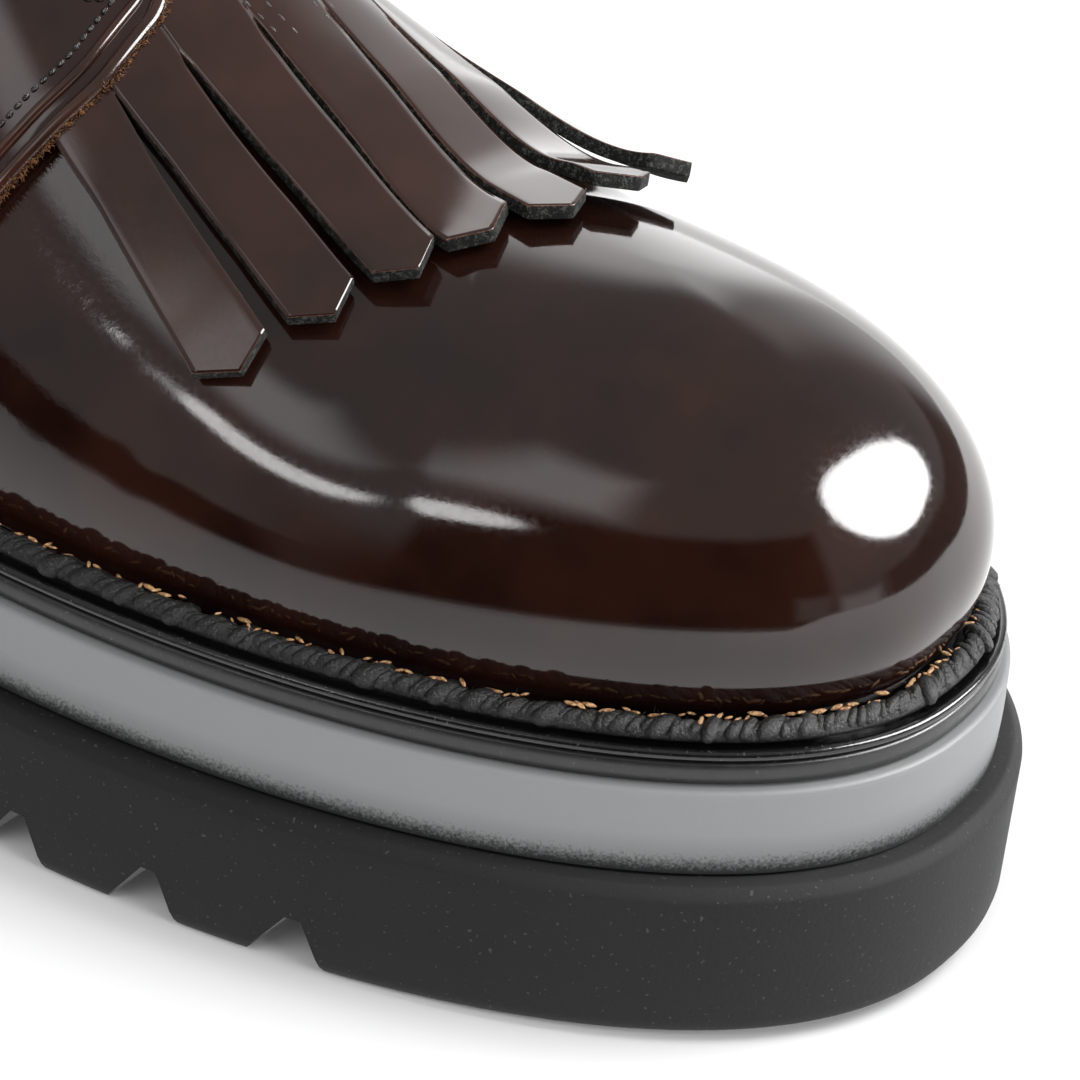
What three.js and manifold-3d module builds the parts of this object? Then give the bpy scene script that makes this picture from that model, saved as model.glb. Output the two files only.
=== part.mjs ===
// Kiltie derby shoe for the right foot, on a thick layered sole.
// X runs from heel to toe, Y to the wearer's left, Z up. All sizes are in millimetres.
import * as THREE from 'three';
import { mergeVertices } from 'three/addons/utils/BufferGeometryUtils.js';
import Module from 'manifold-3d';

const wasm = await Module();
wasm.setup();

// Plan of the sole
const soleLength = 304;
const ballWidth = 112;
const heelWidth = 80;
const toeShift = 2.6;
const heelRoundAt = 0.15;
const ballOuterAt = 0.6316;
const ballInnerAt = 0.72;
const halfCount = 40;

// Layers of the sole, from the floor up
const outsoleHeight = 20.6;
const greyHeight = 11.9;
const blackHeight = 3.2;
const weltHeight = 1.56;
const heelRise = 14;
const toeSpring = 2;
const springReach = 95;
const archHeight = 8;
const greyInset = 3.35;
const blackInset = 4.6;
const bevel = 1.3;
const seam = 0.3;
const braidWidth = 4.5;
const braidHeight = 2.4;
const insoleThick = 3;
const cleanTolerance = 0.02;

// Notches between the lugs
const notchPitch = 19;
const notchLength = 10;
const notchDepth = 6.9;
const notchReach = 20;
const foreNotches = 4;
const heelNotches = 2;
const firstNotchAt = 0.7812;
const heelNotchAt = 0.09;

// Upper
const wall = 2;
const featherInset = 11;
const featherInsetRear = 13.2;
const sideBulge = 8;
const apexAt = 0.822;
const foldStartAt = 0.4934;
const apexMerge = 0.8;
const throatAt = 181 / 304;
const throatX = soleLength * throatAt;
const ridgeBehind = 55;
const ridgeStartX = throatX - ridgeBehind;
const collarHalf = 27;
const facingGap = 11;
const heelLean = 2;
const rows = 8;

// Pieces laid over the upper
const overlayGap = 0.3;
const quarterThick = 1.7;
const stripThick = 1.3;
const backStripReach = 1;
const backSeam = 0.06;
const tongueThick = 2.6;
const tongueBehind = 85;
const tongueTop = throatX - tongueBehind;
const tongueHalf = 20;
const eyeletPairs = 4;
const eyeletPitch = 17;
const eyeletSetBack = 13;
const eyeletFirstX = throatX - eyeletSetBack;
const eyeletFromEdge = 7;
const eyeletBore = 1.7;
const eyeletBarrel = 2.2;
const eyeletFlange = 3.6;
const flangeThick = 0.7;
const laceRadius = 1.2;
const laceSteps = 16;

// Kiltie
const kiltieThick = 1.8;
const kiltieLength = 42;
const kiltieSpan = 66;
const kiltieAngle = -12.4;
const kiltieAhead = 14;
const kiltieCentreX = throatX + kiltieAhead;
const kiltieCentreY = 2.5;
const stripWidth = 10;
const tipPoint = 2.9;
const tipLift = 5;
const tabHalf = 8;
const tabBehind = 59;
const tabBack = throatX - tabBehind;

// The sides between heel and ball: how far the edge has gone from heel width to ball width
const outerSide = [
  { at: 0.15, out: 0 },
  { at: 0.27, out: 0.0625 },
  { at: 0.40, out: 0.344 },
  { at: 0.52, out: 0.8125 },
  { at: ballOuterAt, out: 1 },
];
const innerSide = [
  { at: 0.15, out: 0 },
  { at: 0.27, out: -0.031 },
  { at: 0.42, out: 0.0625 },
  { at: 0.58, out: 0.625 },
  { at: ballInnerAt, out: 1 },
];

// Share of the heel rise left at each place along the sole
const riseRows = [
  { at: 0, share: 1 },
  { at: 0.18, share: 0.93 },
  { at: 0.42, share: 0.43 },
  { at: 0.62, share: 0.02 },
  { at: 1.01, share: 0 },
];

// Share of the arch height that the underside is lifted
const archRows = [
  { at: 0, share: 0 },
  { at: 0.285, share: 0 },
  { at: 0.33, share: 1 },
  { at: 0.42, share: 0.85 },
  { at: 0.53, share: 0 },
  { at: 1.01, share: 0 },
];

// Height of the crown line over the sole, as a share of the instep height
const instepHeight = 87;
const crownRows = [
  { at: 0.030, share: 0.690 },
  { at: 0.12, share: 0.632 },
  { at: 0.22, share: 0.621 },
  { at: 0.32, share: 0.828 },
  { at: 0.375, share: 1 },
  { at: 0.45, share: 0.937 },
  { at: 0.53, share: 0.812 },
  { at: 0.60, share: 0.678 },
  { at: 0.68, share: 0.545 },
  { at: 0.75, share: 0.462 },
  { at: 0.825, share: 0.463 },
];

// The profile of the upper: bulge over the feather line, lean and reach at its top edge
const profileRows = [
  { at: 0, bulge: 0.9, reach: 0.60 },
  { at: 0.20, bulge: 0.7, reach: 0.60 },
  { at: 0.50, bulge: 0.6, reach: 0.54 },
  { at: 0.72, bulge: 0.96, reach: 0.47 },
  { at: 0.82, bulge: 1.16, reach: 0.54 },
  { at: 0.90, bulge: 1.46, reach: 0.63 },
  { at: 1.0, bulge: 1.66, reach: 0.74 },
];
const leanRows = [
  { at: 0, angle: 80 },
  { at: 0.17, angle: 80 },
  { at: 0.30, angle: 68 },
  { at: 0.36, angle: 40 },
  { at: 0.42, angle: 0 },
  { at: 1.01, angle: 0 },
];

// Front edge of the quarters in plan, from the crown outwards. across is a share of the way to the sole's edge
const quarterFront = [
  { at: 0.560, across: 0 },
  { at: 0.600, across: 0.16 },
  { at: 0.613, across: 0.28 },
  { at: 0.614, across: 0.40 },
  { at: 0.608, across: 0.54 },
  { at: 0.599, across: 0.66 },
  { at: 0.580, across: 0.78 },
  { at: 0.548, across: 0.90 },
  { at: 0.480, across: 1.05 },
];

// The kiltie's strips from the outer side to the inner side. Across is a share of half the span, along a share
// of the length, lift a share of the tip's lift, and the widths are shares of the strip's width
const kiltieRows = [
  { rootAlong: -0.05, rootAcross: -0.875, tipAlong: 0.713, tipAcross: -0.921, lift: 0.14, root: 0.74, tip: 0.98 },
  { rootAlong: 0.00, rootAcross: -0.633, tipAlong: 0.785, tipAcross: -0.607, lift: 0.16, root: 0.81, tip: 0.93 },
  { rootAlong: 0.00, rootAcross: -0.341, tipAlong: 0.844, tipAcross: -0.296, lift: 0.24, root: 1.00, tip: 0.90 },
  { rootAlong: 0.00, rootAcross: -0.020, tipAlong: 0.897, tipAcross: -0.008, lift: 0.30, root: 0.99, tip: 0.96 },
  { rootAlong: 0.00, rootAcross: 0.280, tipAlong: 0.950, tipAcross: 0.294, lift: 0.38, root: 0.94, tip: 0.94 },
  { rootAlong: -0.02, rootAcross: 0.565, tipAlong: 0.930, tipAcross: 0.620, lift: 0.44, root: 0.92, tip: 0.98 },
  { rootAlong: -0.06, rootAcross: 0.840, tipAlong: 0.800, tipAcross: 1.000, lift: 0.85, root: 0.88, tip: 0.98 },
];

function blend(a, b, t) {
  return a + (b - a) * t;
}

function clamp(x, low, high) {
  return Math.min(Math.max(x, low), high);
}

// Smooth curve through a table. Its slope is a mean of its neighbours' and zero at a high or low row
function readTable(table, key, column, x, flatEnds) {
  const last = table.length - 1;
  let i = 0;
  while (i < last - 1 && x > table[i + 1][key]) i += 1;
  const step = (k) => table[k + 1][key] - table[k][key];
  const slope = (k) => (table[k + 1][column] - table[k][column]) / step(k);
  const tangent = (k) => {
    if (k === 0) return flatEnds ? 0 : slope(0);
    if (k === last) return flatEnds ? 0 : slope(last - 1);
    if (slope(k - 1) * slope(k) <= 0) return 0;
    const before = 2 * step(k) + step(k - 1);
    const after = step(k) + 2 * step(k - 1);
    return (before + after) / (before / slope(k - 1) + after / slope(k));
  };
  const t = clamp((x - table[i][key]) / step(i), 0, 1);
  const u = 1 - t;
  return (1 + 2 * t) * u * u * table[i][column] + t * u * u * step(i) * tangent(i)
    + t * t * (3 - 2 * t) * table[i + 1][column] - t * t * u * step(i) * tangent(i + 1);
}

// Half of the sole's plan. side is -1 on the outer side and 1 on the inner side
function sideEdge(x, side) {
  const at = clamp(x / soleLength, 0, 1);
  const ballAt = side < 0 ? ballOuterAt : ballInnerAt;
  if (at < heelRoundAt) {
    const back = 1 - at / heelRoundAt;
    return side * heelWidth / 2 * Math.pow(1 - Math.pow(back, 2.25), 1 / 2.25);
  }
  if (at < ballAt) {
    const table = side < 0 ? outerSide : innerSide;
    return side * blend(heelWidth / 2, ballWidth / 2, readTable(table, 'at', 'out', at, true));
  }
  const ahead = (at - ballAt) / (1 - ballAt);
  const along = side < 0 ? 1.95 : 2.1;
  const across = side < 0 ? 2.18 : 2.2;
  const reach = side * ballWidth / 2 - toeShift;
  return toeShift + reach * Math.pow(Math.max(1 - Math.pow(ahead, along), 0), 1 / across);
}

// A station runs from 0 at the heel along the outer side to halfCount at the toe and back along the inner side
function planPoint(station) {
  const all = 2 * halfCount;
  const s = ((station % all) + all) % all;
  const side = s <= halfCount ? -1 : 1;
  const k = s <= halfCount ? s : all - s;
  const x = soleLength * (1 - Math.cos(Math.PI * k / halfCount)) / 2;
  return new THREE.Vector2(x, sideEdge(x, side));
}

function planNormal(station) {
  const before = planPoint(station - 0.25);
  const after = planPoint(station + 0.25);
  const run = after.sub(before).normalize();
  return new THREE.Vector2(run.y, -run.x);
}

function insetPoint(station, inset) {
  return planPoint(station).addScaledVector(planNormal(station), -inset);
}

function lift(x) {
  const spring = toeSpring * Math.pow(Math.max(x - soleLength + springReach, 0) / springReach, 2);
  return heelRise * readTable(riseRows, 'at', 'share', x / soleLength) + spring;
}

function undersideLift(x) {
  const spring = toeSpring * Math.pow(Math.max(x - soleLength + springReach, 0) / springReach, 2);
  return archHeight * readTable(archRows, 'at', 'share', x / soleLength) + spring;
}

const outsoleTop = outsoleHeight;
const greyTop = outsoleTop + greyHeight;
const blackTop = greyTop + blackHeight;
const weltTop = blackTop + weltHeight;

function soleTop(x) {
  return weltTop + lift(x);
}

// A mesh from vertices and faces, with its shared vertices merged
function meshFrom(points, faces) {
  const geometry = new THREE.BufferGeometry();
  geometry.setAttribute('position', new THREE.Float32BufferAttribute(points.flatMap((p) => [p.x, p.y, p.z]), 3));
  geometry.setIndex(faces.flat());
  const merged = mergeVertices(geometry, 1e-4);
  const index = merged.index.array;
  const kept = [];
  for (let i = 0; i < index.length; i += 3) {
    const [a, b, c] = [index[i], index[i + 1], index[i + 2]];
    if (a !== b && b !== c && a !== c) kept.push(a, b, c);
  }
  merged.setIndex(kept);
  return merged;
}

function meshTidy(geometry) {
  const bare = geometry.clone();
  bare.deleteAttribute('normal');
  bare.deleteAttribute('uv');
  const merged = mergeVertices(bare, 1e-4);
  const position = merged.attributes.position;
  const points = [];
  for (let i = 0; i < position.count; i += 1) points.push(new THREE.Vector3().fromBufferAttribute(position, i));
  const faces = [];
  const index = merged.index.array;
  for (let i = 0; i < index.length; i += 3) faces.push([index[i], index[i + 1], index[i + 2]]);
  return meshFrom(points, faces);
}

function toSolid(geometry) {
  const bare = geometry.clone();
  bare.deleteAttribute('normal');
  bare.deleteAttribute('uv');
  const merged = mergeVertices(bare, 1e-4);
  const mesh = new wasm.Mesh({
    numProp: 3,
    vertProperties: new Float32Array(merged.attributes.position.array),
    triVerts: new Uint32Array(merged.index.array),
  });
  return new wasm.Manifold(mesh);
}

function fromSolid(solid) {
  const mesh = solid.asOriginal().simplify(cleanTolerance).getMesh();
  const geometry = new THREE.BufferGeometry();
  geometry.setAttribute('position', new THREE.Float32BufferAttribute(mesh.vertProperties, 3));
  geometry.setIndex(Array.from(mesh.triVerts));
  return geometry;
}

// Trimming can leave loose slivers: the piece is its largest body
function mainBody(solid) {
  const bodies = solid.decompose();
  return bodies.reduce((best, body) => (body.volume() > best.volume() ? body : best));
}

// A closed slab of the sole: rings of stations from its lowest to its highest, with a ladder of faces on each end
function slab(rings) {
  const all = 2 * halfCount;
  const points = [];
  const faces = [];
  for (const ring of rings) {
    for (let s = 0; s < all; s += 1) {
      const p = insetPoint(s, ring.inset);
      points.push(new THREE.Vector3(p.x, p.y, ring.level(p.x)));
    }
  }
  for (let r = 0; r < rings.length - 1; r += 1) {
    for (let s = 0; s < all; s += 1) {
      const a = r * all + s;
      const b = r * all + (s + 1) % all;
      faces.push([a, b, b + all], [a, b + all, a + all]);
    }
  }
  const top = (rings.length - 1) * all;
  for (let k = 0; k < halfCount; k += 1) {
    const innerNear = (all - k) % all;
    const innerFar = all - k - 1;
    faces.push([k, innerNear, innerFar], [k, innerFar, k + 1]);
    faces.push([top + k, top + innerFar, top + innerNear], [top + k, top + k + 1, top + innerFar]);
  }
  return meshFrom(points, faces);
}

// A closed ring on the sole, its section given as corners of inset and height
function soleRing(corners, level) {
  const all = 2 * halfCount;
  const points = [];
  const faces = [];
  for (let s = 0; s < all; s += 1) {
    for (const corner of corners) {
      const p = insetPoint(s, corner.inset);
      points.push(new THREE.Vector3(p.x, p.y, level(p.x) + corner.up));
    }
  }
  const n = corners.length;
  for (let s = 0; s < all; s += 1) {
    for (let c = 0; c < n; c += 1) {
      const a = s * n + c;
      const b = s * n + (c + 1) % n;
      const shift = (((s + 1) % all) - s) * n;
      faces.push([a, a + shift, b + shift], [a, b + shift, b]);
    }
  }
  return meshFrom(points, faces);
}

// A closed sheet between two grids of points of equal size
function sheet(upperGrid, lowerGrid) {
  const high = upperGrid.length;
  const wide = upperGrid[0].length;
  const points = [...upperGrid.flat(), ...lowerGrid.flat()];
  const under = high * wide;
  const faces = [];
  for (let r = 0; r < high - 1; r += 1) {
    for (let c = 0; c < wide - 1; c += 1) {
      const a = r * wide + c;
      const d = a + wide;
      faces.push([a, a + 1, d + 1], [a, d + 1, d]);
      faces.push([under + a, under + d + 1, under + a + 1], [under + a, under + d, under + d + 1]);
    }
  }
  const rim = [];
  for (let c = 0; c < wide - 1; c += 1) rim.push(c);
  for (let r = 0; r < high - 1; r += 1) rim.push(r * wide + wide - 1);
  for (let c = wide - 1; c > 0; c -= 1) rim.push((high - 1) * wide + c);
  for (let r = high - 1; r > 0; r -= 1) rim.push(r * wide);
  rim.forEach((a, i) => {
    const b = rim[(i + 1) % rim.length];
    faces.push([a, under + a, under + b], [a, under + b, b]);
  });
  return meshFrom(points, faces);
}

function turned(geometry) {
  const index = geometry.index.array;
  for (let i = 0; i < index.length; i += 3) {
    const keep = index[i];
    index[i] = index[i + 1];
    index[i + 1] = keep;
  }
  return geometry;
}

// Faces point out of the solid, whichever way its grid ran
function outward(geometry) {
  const position = geometry.attributes.position;
  const index = geometry.index.array;
  const a = new THREE.Vector3();
  const b = new THREE.Vector3();
  const c = new THREE.Vector3();
  let volume = 0;
  for (let i = 0; i < index.length; i += 3) {
    a.fromBufferAttribute(position, index[i]);
    b.fromBufferAttribute(position, index[i + 1]);
    c.fromBufferAttribute(position, index[i + 2]);
    volume += a.dot(b.cross(c));
  }
  return volume < 0 ? turned(geometry) : geometry;
}

// Plan place of the crown line over a station's place
const toeFeatherX = soleLength - featherInset;
const apexX = apexAt * soleLength;
const foldStartX = foldStartAt * soleLength;

function crownX(k) {
  const x = soleLength * (1 - Math.cos(Math.PI * k / halfCount)) / 2;
  const footX = blend(featherInsetRear, soleLength - featherInset, x / soleLength);
  if (footX > foldStartX) {
    const t = (footX - foldStartX) / (toeFeatherX - foldStartX);
    const power = (toeFeatherX - foldStartX) / (apexX - foldStartX);
    const onCrown = blend(foldStartX, apexX, 1 - Math.pow(Math.max(1 - t, 0), power));
    return apexX - onCrown < apexMerge ? apexX : onCrown;
  }
  const nearHeel = clamp(1 - (footX - featherInsetRear) / (heelRoundAt * soleLength), 0, 1);
  return footX + heelLean * Math.pow(nearHeel, 1.5);
}

function crownY(x) {
  return toeShift * clamp(x / throatX, 0, 1);
}

function crownZ(x) {
  return soleTop(x) + instepHeight * readTable(crownRows, 'at', 'share', x / soleLength);
}

const collarBackX = featherInsetRear + heelLean;
const collarWideX = collarBackX + collarHalf * 1.67;

// Half the width of the collar, which narrows to nothing where the crown becomes a ridge
function halfGap(x) {
  if (x >= ridgeStartX) return 0;
  const back = clamp((x - collarBackX) / (collarWideX - collarBackX), 0, 1);
  const round = collarHalf * Math.pow(1 - Math.pow(1 - back, 2.3), 1 / 2.3);
  const ahead = clamp((x - collarWideX) / (ridgeStartX - collarWideX), 0, 1);
  return round * Math.pow(1 - Math.pow(ahead, 2.4), 0.75);
}

// Under the quarters the upper stands further in, by their thickness
function featherInsetAt(x) {
  const t = clamp((x / soleLength - 0.51) / 0.1, 0, 1);
  return blend(featherInsetRear, featherInset, t * t * (3 - 2 * t));
}

// The upper's outer surface. up is 0 at the feather line and 1 at the crown, the facing or the collar
function upperPoint(station, up) {
  const all = 2 * halfCount;
  const s = ((station % all) + all) % all;
  const side = s <= halfCount ? -1 : 1;
  const k = s <= halfCount ? s : all - s;
  const edgeX = soleLength * (1 - Math.cos(Math.PI * k / halfCount)) / 2;
  const foot2 = insetPoint(station, featherInsetAt(edgeX));
  const out2 = planNormal(station);
  const foot = new THREE.Vector3(foot2.x, foot2.y, soleTop(foot2.x) + seam);
  const topX = crownX(k);
  const top = new THREE.Vector3(topX, crownY(topX) + side * halfGap(topX), crownZ(topX));
  const height = top.z - foot.z;
  const away = new THREE.Vector3(foot.x - top.x, foot.y - top.y, 0);
  const span = away.length();
  away.normalize();
  const at = clamp(foot.x / soleLength, 0, 1);
  const angle = THREE.MathUtils.degToRad(readTable(leanRows, 'at', 'angle', topX / soleLength));
  const slope = (crownZ(topX + 1) - crownZ(topX - 1)) / 2;
  const leave = away.clone().multiplyScalar(Math.cos(angle));
  leave.z = slope * away.x * Math.cos(angle) - Math.sin(angle);
  const reach = Math.hypot(span, 0.35 * height * Math.sin(angle)) * readTable(profileRows, 'at', 'reach', at);
  const bulge = sideBulge * readTable(profileRows, 'at', 'bulge', at);
  const low = new THREE.Vector3(foot.x + out2.x * bulge, foot.y + out2.y * bulge, foot.z + height / 2);
  const near = top.clone().addScaledVector(leave, reach);
  return new THREE.CubicBezierCurve3(foot, low, near, top).getPoint(up);
}

function upperNormal(station, up) {
  const all = 2 * halfCount;
  const s = ((station % all) + all) % all;
  const k = s <= halfCount ? s : all - s;
  const topX = crownX(k);
  if (up > 0.999 && topX >= ridgeStartX) {
    const slope = (crownZ(topX + 1) - crownZ(topX - 1)) / 2;
    return new THREE.Vector3(-slope, 0, 1).normalize();
  }
  const along = upperPoint(station + 0.25, Math.min(up, 0.98)).sub(upperPoint(station - 0.25, Math.min(up, 0.98)));
  const low = Math.max(up - 0.02, 0);
  const high = Math.min(up + 0.02, 1);
  const rise = upperPoint(station, high).sub(upperPoint(station, low));
  return along.cross(rise).normalize();
}

function upperAt(station, up, out) {
  return upperPoint(station, up).addScaledVector(upperNormal(station, up), out);
}

// The station on one side whose surface point at this height lies at x
function stationAt(side, up, x) {
  let low = 0;
  let high = halfCount;
  for (let i = 0; i < 30; i += 1) {
    const middle = (low + high) / 2;
    const station = side < 0 ? middle : 2 * halfCount - middle;
    if (upperPoint(station, up).x < x) low = middle;
    else high = middle;
  }
  return side < 0 ? low : 2 * halfCount - low;
}

// The surface point of the forepart over a place in plan, with its normal
function overForepart(x, y) {
  const side = y < crownY(x) ? -1 : 1;
  let lowUp = 0.2;
  let highUp = 1;
  for (let i = 0; i < 26; i += 1) {
    const up = (lowUp + highUp) / 2;
    const station = stationAt(side, up, x);
    const reachY = upperPoint(station, up).y;
    if (side * (reachY - y) > 0) lowUp = up;
    else highUp = up;
  }
  const station = stationAt(side, lowUp, x);
  return { point: upperPoint(station, lowUp), normal: upperNormal(station, lowUp) };
}

// The whole upper with its two faces, closed along the feather line and the collar
function makeShell() {
  const all = 2 * halfCount;
  const points = [];
  const faces = [];
  for (const depth of [0, -wall]) {
    for (let r = 0; r <= rows; r += 1) {
      for (let s = 0; s < all; s += 1) points.push(upperAt(s, r / rows, depth));
    }
  }
  const inner = (rows + 1) * all;
  for (let s = 0; s < all; s += 1) {
    const t = (s + 1) % all;
    for (let r = 0; r < rows; r += 1) {
      const a = r * all + s;
      const b = r * all + t;
      faces.push([a, b, b + all], [a, b + all, a + all]);
      faces.push([inner + a, inner + b + all, inner + b], [inner + a, inner + a + all, inner + b + all]);
    }
    faces.push([s, inner + t, t], [s, inner + s, inner + t]);
    const k = s < halfCount ? s : all - s - 1;
    if (crownX(k) < ridgeStartX) {
      const a = rows * all + s;
      const b = rows * all + t;
      faces.push([a, b, inner + b], [a, inner + b, inner + a]);
    }
  }
  return outward(meshFrom(points, faces));
}

// An upright block over an outline in plan
function planBlock(outline) {
  const shape = new THREE.Shape(outline);
  const block = new THREE.ExtrudeGeometry(shape, { depth: 200, bevelEnabled: false });
  return block;
}

// The opening between the facings, round at the throat
function throatOutline(spread) {
  const half = facingGap + spread;
  const endX = throatX + spread;
  const points = [new THREE.Vector2(collarWideX, crownY(collarWideX) + half)];
  points.push(new THREE.Vector2(collarWideX, crownY(collarWideX) - half));
  for (let i = 0; i <= 8; i += 1) {
    const turn = Math.PI * (i / 8 - 0.5);
    const x = endX - half + half * Math.cos(turn);
    points.push(new THREE.Vector2(x, crownY(x) + half * Math.sin(turn)));
  }
  return points;
}

// The quarters' front edge in plan, from the crown down to the feather line
function quarterEdge(side, ahead) {
  return quarterFront.map((row) => {
    const x = soleLength * row.at + ahead;
    return new THREE.Vector2(x, crownY(x) + row.across * (sideEdge(x, side) - crownY(x)));
  });
}

function makeUpper() {
  const open = toSolid(makeShell()).subtract(toSolid(planBlock(throatOutline(0))));
  return fromSolid(withEyeletHoles(open, [-1, 1]));
}

// A layer over the upper between two offsets, its stations and rows those of the upper
function layer(stations, ups, inside, outside) {
  const grids = [inside, outside].map((out) => ups.map((up) => stations.map((station) => upperAt(station, up, out))));
  return outward(sheet(grids[1], grids[0]));
}

function steps(from, to) {
  return Array.from({ length: to - from + 1 }, (value, i) => from + i);
}

// Trims a piece so that it clears both faces of the upper between two places along it, and the throat's edge
function clearOfUpper(solid, fromX, toX) {
  const first = Math.floor(stationAt(-1, 1, fromX));
  const last = Math.ceil(stationAt(-1, 1, toX));
  const ups = steps(3, rows).map((r) => r / rows);
  const opening = toSolid(planBlock(throatOutline(-overlayGap)));
  let rest = solid;
  for (const side of [-1, 1]) {
    const stations = side < 0 ? steps(first, last) : steps(2 * halfCount - last, 2 * halfCount - first);
    const leather = toSolid(layer(stations, ups, -wall - overlayGap, overlayGap));
    rest = rest.subtract(leather.subtract(opening));
  }
  return mainBody(rest);
}

// A quarter: a layer over the rear of one side, cut at the throat and along its front edge.
// spread makes it larger all round, to trim its neighbours with
function makeQuarter(side, spread) {
  const reach = Math.ceil(stationAt(-1, 1, throatX + 20));
  const outer = [backSeam, ...steps(1, reach)];
  const stations = side < 0 ? outer : outer.map((s) => 2 * halfCount - s).reverse();
  const ups = steps(0, rows).map((r) => (r === 0 ? 0.004 : r / rows));
  const whole = toSolid(layer(stations, ups, overlayGap - spread, overlayGap + quarterThick + spread));
  const edge = quarterEdge(side, spread);
  const past = -side * facingGap;
  const front = [new THREE.Vector2(edge[0].x, past), ...edge];
  front.push(new THREE.Vector2(soleLength, side * ballWidth), new THREE.Vector2(soleLength, past));
  return whole.subtract(toSolid(planBlock(front))).subtract(toSolid(planBlock(throatOutline(-spread))));
}

// The strip over the back seam
function makeBackStrip() {
  const inside = overlayGap + quarterThick + overlayGap;
  const ups = steps(1, rows).map((r) => r / rows);
  return layer([-backStripReach, -backSeam, backSeam, backStripReach], ups, inside, inside + stripThick);
}

// A place under or over the instep: the upper's own surface, carried on back past the collar
function overInstep(x, across, out) {
  const onX = Math.max(x, ridgeStartX + 2);
  const y = crownY(x) + across;
  const { point, normal } = overForepart(onX, crownY(onX) + across);
  const past = onX - x;
  return new THREE.Vector3(x, y + normal.y * out, point.z + past * 0.32 + normal.z * out);
}

// The tongue lies under both facings and arches across the gap
function makeTongue() {
  const count = 9;
  const frontX = throatX + 9;
  const high = -wall - overlayGap - 0.1;
  const grids = [high, high - tongueThick].map((out) => {
    const grid = [];
    for (let r = 0; r <= count; r += 1) {
      const x = blend(tongueTop, frontX, r / count);
      const half = blend(tongueHalf, tongueHalf - 3, r / count);
      grid.push([-1, -0.66, -0.33, 0, 0.33, 0.66, 1].map((across) => overInstep(x, across * half, out)));
    }
    return grid;
  });
  const solid = toSolid(outward(sheet(grids[1], grids[0])));
  return fromSolid(clearOfUpper(solid, ridgeStartX - 30, throatX + 20));
}

// Plan place from the kiltie's own axis
function kiltiePlan(along, across) {
  const angle = THREE.MathUtils.degToRad(kiltieAngle);
  return new THREE.Vector2(
    kiltieCentreX + along * Math.cos(angle) - across * Math.sin(angle),
    kiltieCentreY + along * Math.sin(angle) + across * Math.cos(angle),
  );
}

// Where a strip starts and ends in plan
function stripEnds(row) {
  const half = kiltieSpan / 2;
  return {
    root: kiltiePlan(row.rootAlong * kiltieLength, row.rootAcross * half),
    tip: kiltiePlan(row.tipAlong * kiltieLength, row.tipAcross * half),
  };
}

// One strip of the fringe: flat across, its tip cut to a shallow point and lifted off the vamp
function makeStrip(row) {
  const { root, tip } = stripEnds(row);
  const count = 6;
  const back = -0.08;
  const centres = [];
  for (let i = 0; i <= count; i += 1) {
    const t = blend(back, 1, i / count);
    const place = root.clone().lerp(tip, t);
    const { point, normal } = overForepart(place.x, place.y);
    const raise = tipLift * row.lift * Math.pow(Math.max(t, 0), 2);
    centres.push({ t, normal, point: point.addScaledVector(normal, overlayGap + 0.1 + raise) });
  }
  const grids = [0, kiltieThick].map((out) => centres.map((centre, i) => {
    const before = centres[Math.max(i - 1, 0)].point;
    const after = centres[Math.min(i + 1, count)].point;
    const run = after.clone().sub(before).normalize();
    const over = centre.normal.clone().cross(run).normalize();
    const face = run.clone().cross(over).normalize();
    const half = stripWidth * blend(row.root, row.tip, Math.max(centre.t, 0)) / 2;
    const middle = centre.point.clone().addScaledVector(face, out);
    const left = middle.clone().addScaledVector(over, -half);
    const right = middle.clone().addScaledVector(over, half);
    if (i === count) middle.addScaledVector(run, tipPoint);
    return [left, middle, right];
  }));
  return outward(sheet(grids[1], grids[0]));
}

// The band that holds the strips: a layer over both sides, cut by the quarters' edges and the start of the slits
function makeKiltieBand() {
  const low = Math.floor(stationAt(-1, 1, throatX - 14));
  const high = Math.ceil(stationAt(-1, 0.5, kiltieCentreX + kiltieLength * 0.3));
  const inside = overlayGap;
  const outside = overlayGap + kiltieThick;
  const ups = steps(rows / 2, rows).map((r) => r / rows);
  const grids = [inside, outside].map((out) => {
    const line = (k) => {
      const outer = ups.map((up) => upperAt(k, up, out));
      const inner = ups.map((up) => upperAt(2 * halfCount - k, up, out));
      return [...outer, ...inner.reverse().slice(1)];
    };
    return steps(low, high).map(line);
  });
  const whole = toSolid(outward(sheet(grids[1], grids[0])));
  const half = kiltieSpan / 2;
  const ends = [-1, -0.8, -0.5, 0, 0.5, 0.8, 1];
  const front = ends.map((a) => kiltiePlan(kiltieLength * (0.13 - 0.13 * a * a), a * half * 0.985));
  const rear = [1, -1].flatMap((side) => {
    const edge = quarterEdge(side, overlayGap).filter((p, i) => i > 1 && quarterFront[i].across < 0.6);
    return side > 0 ? edge.reverse() : edge;
  });
  return whole.intersect(toSolid(planBlock([...front, ...rear])));
}

// The tab that runs back between the facings, under the lace
function makeKiltieTab() {
  const count = 9;
  const frontX = throatX + 14;
  const grids = [0, kiltieThick].map((out) => {
    const grid = [];
    for (let i = 0; i <= count; i += 1) {
      const x = blend(tabBack, frontX, i / count);
      const over = clamp((x - throatX + 12) / 14, 0, 1);
      const rise = blend(0.1 - wall, overlayGap + 0.05, over * over * (3 - 2 * over));
      grid.push([-1, -0.5, 0, 0.5, 1].map((across) => overInstep(x, across * tabHalf, rise + out)));
    }
    return grid;
  });
  return toSolid(outward(sheet(grids[1], grids[0])));
}

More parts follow.
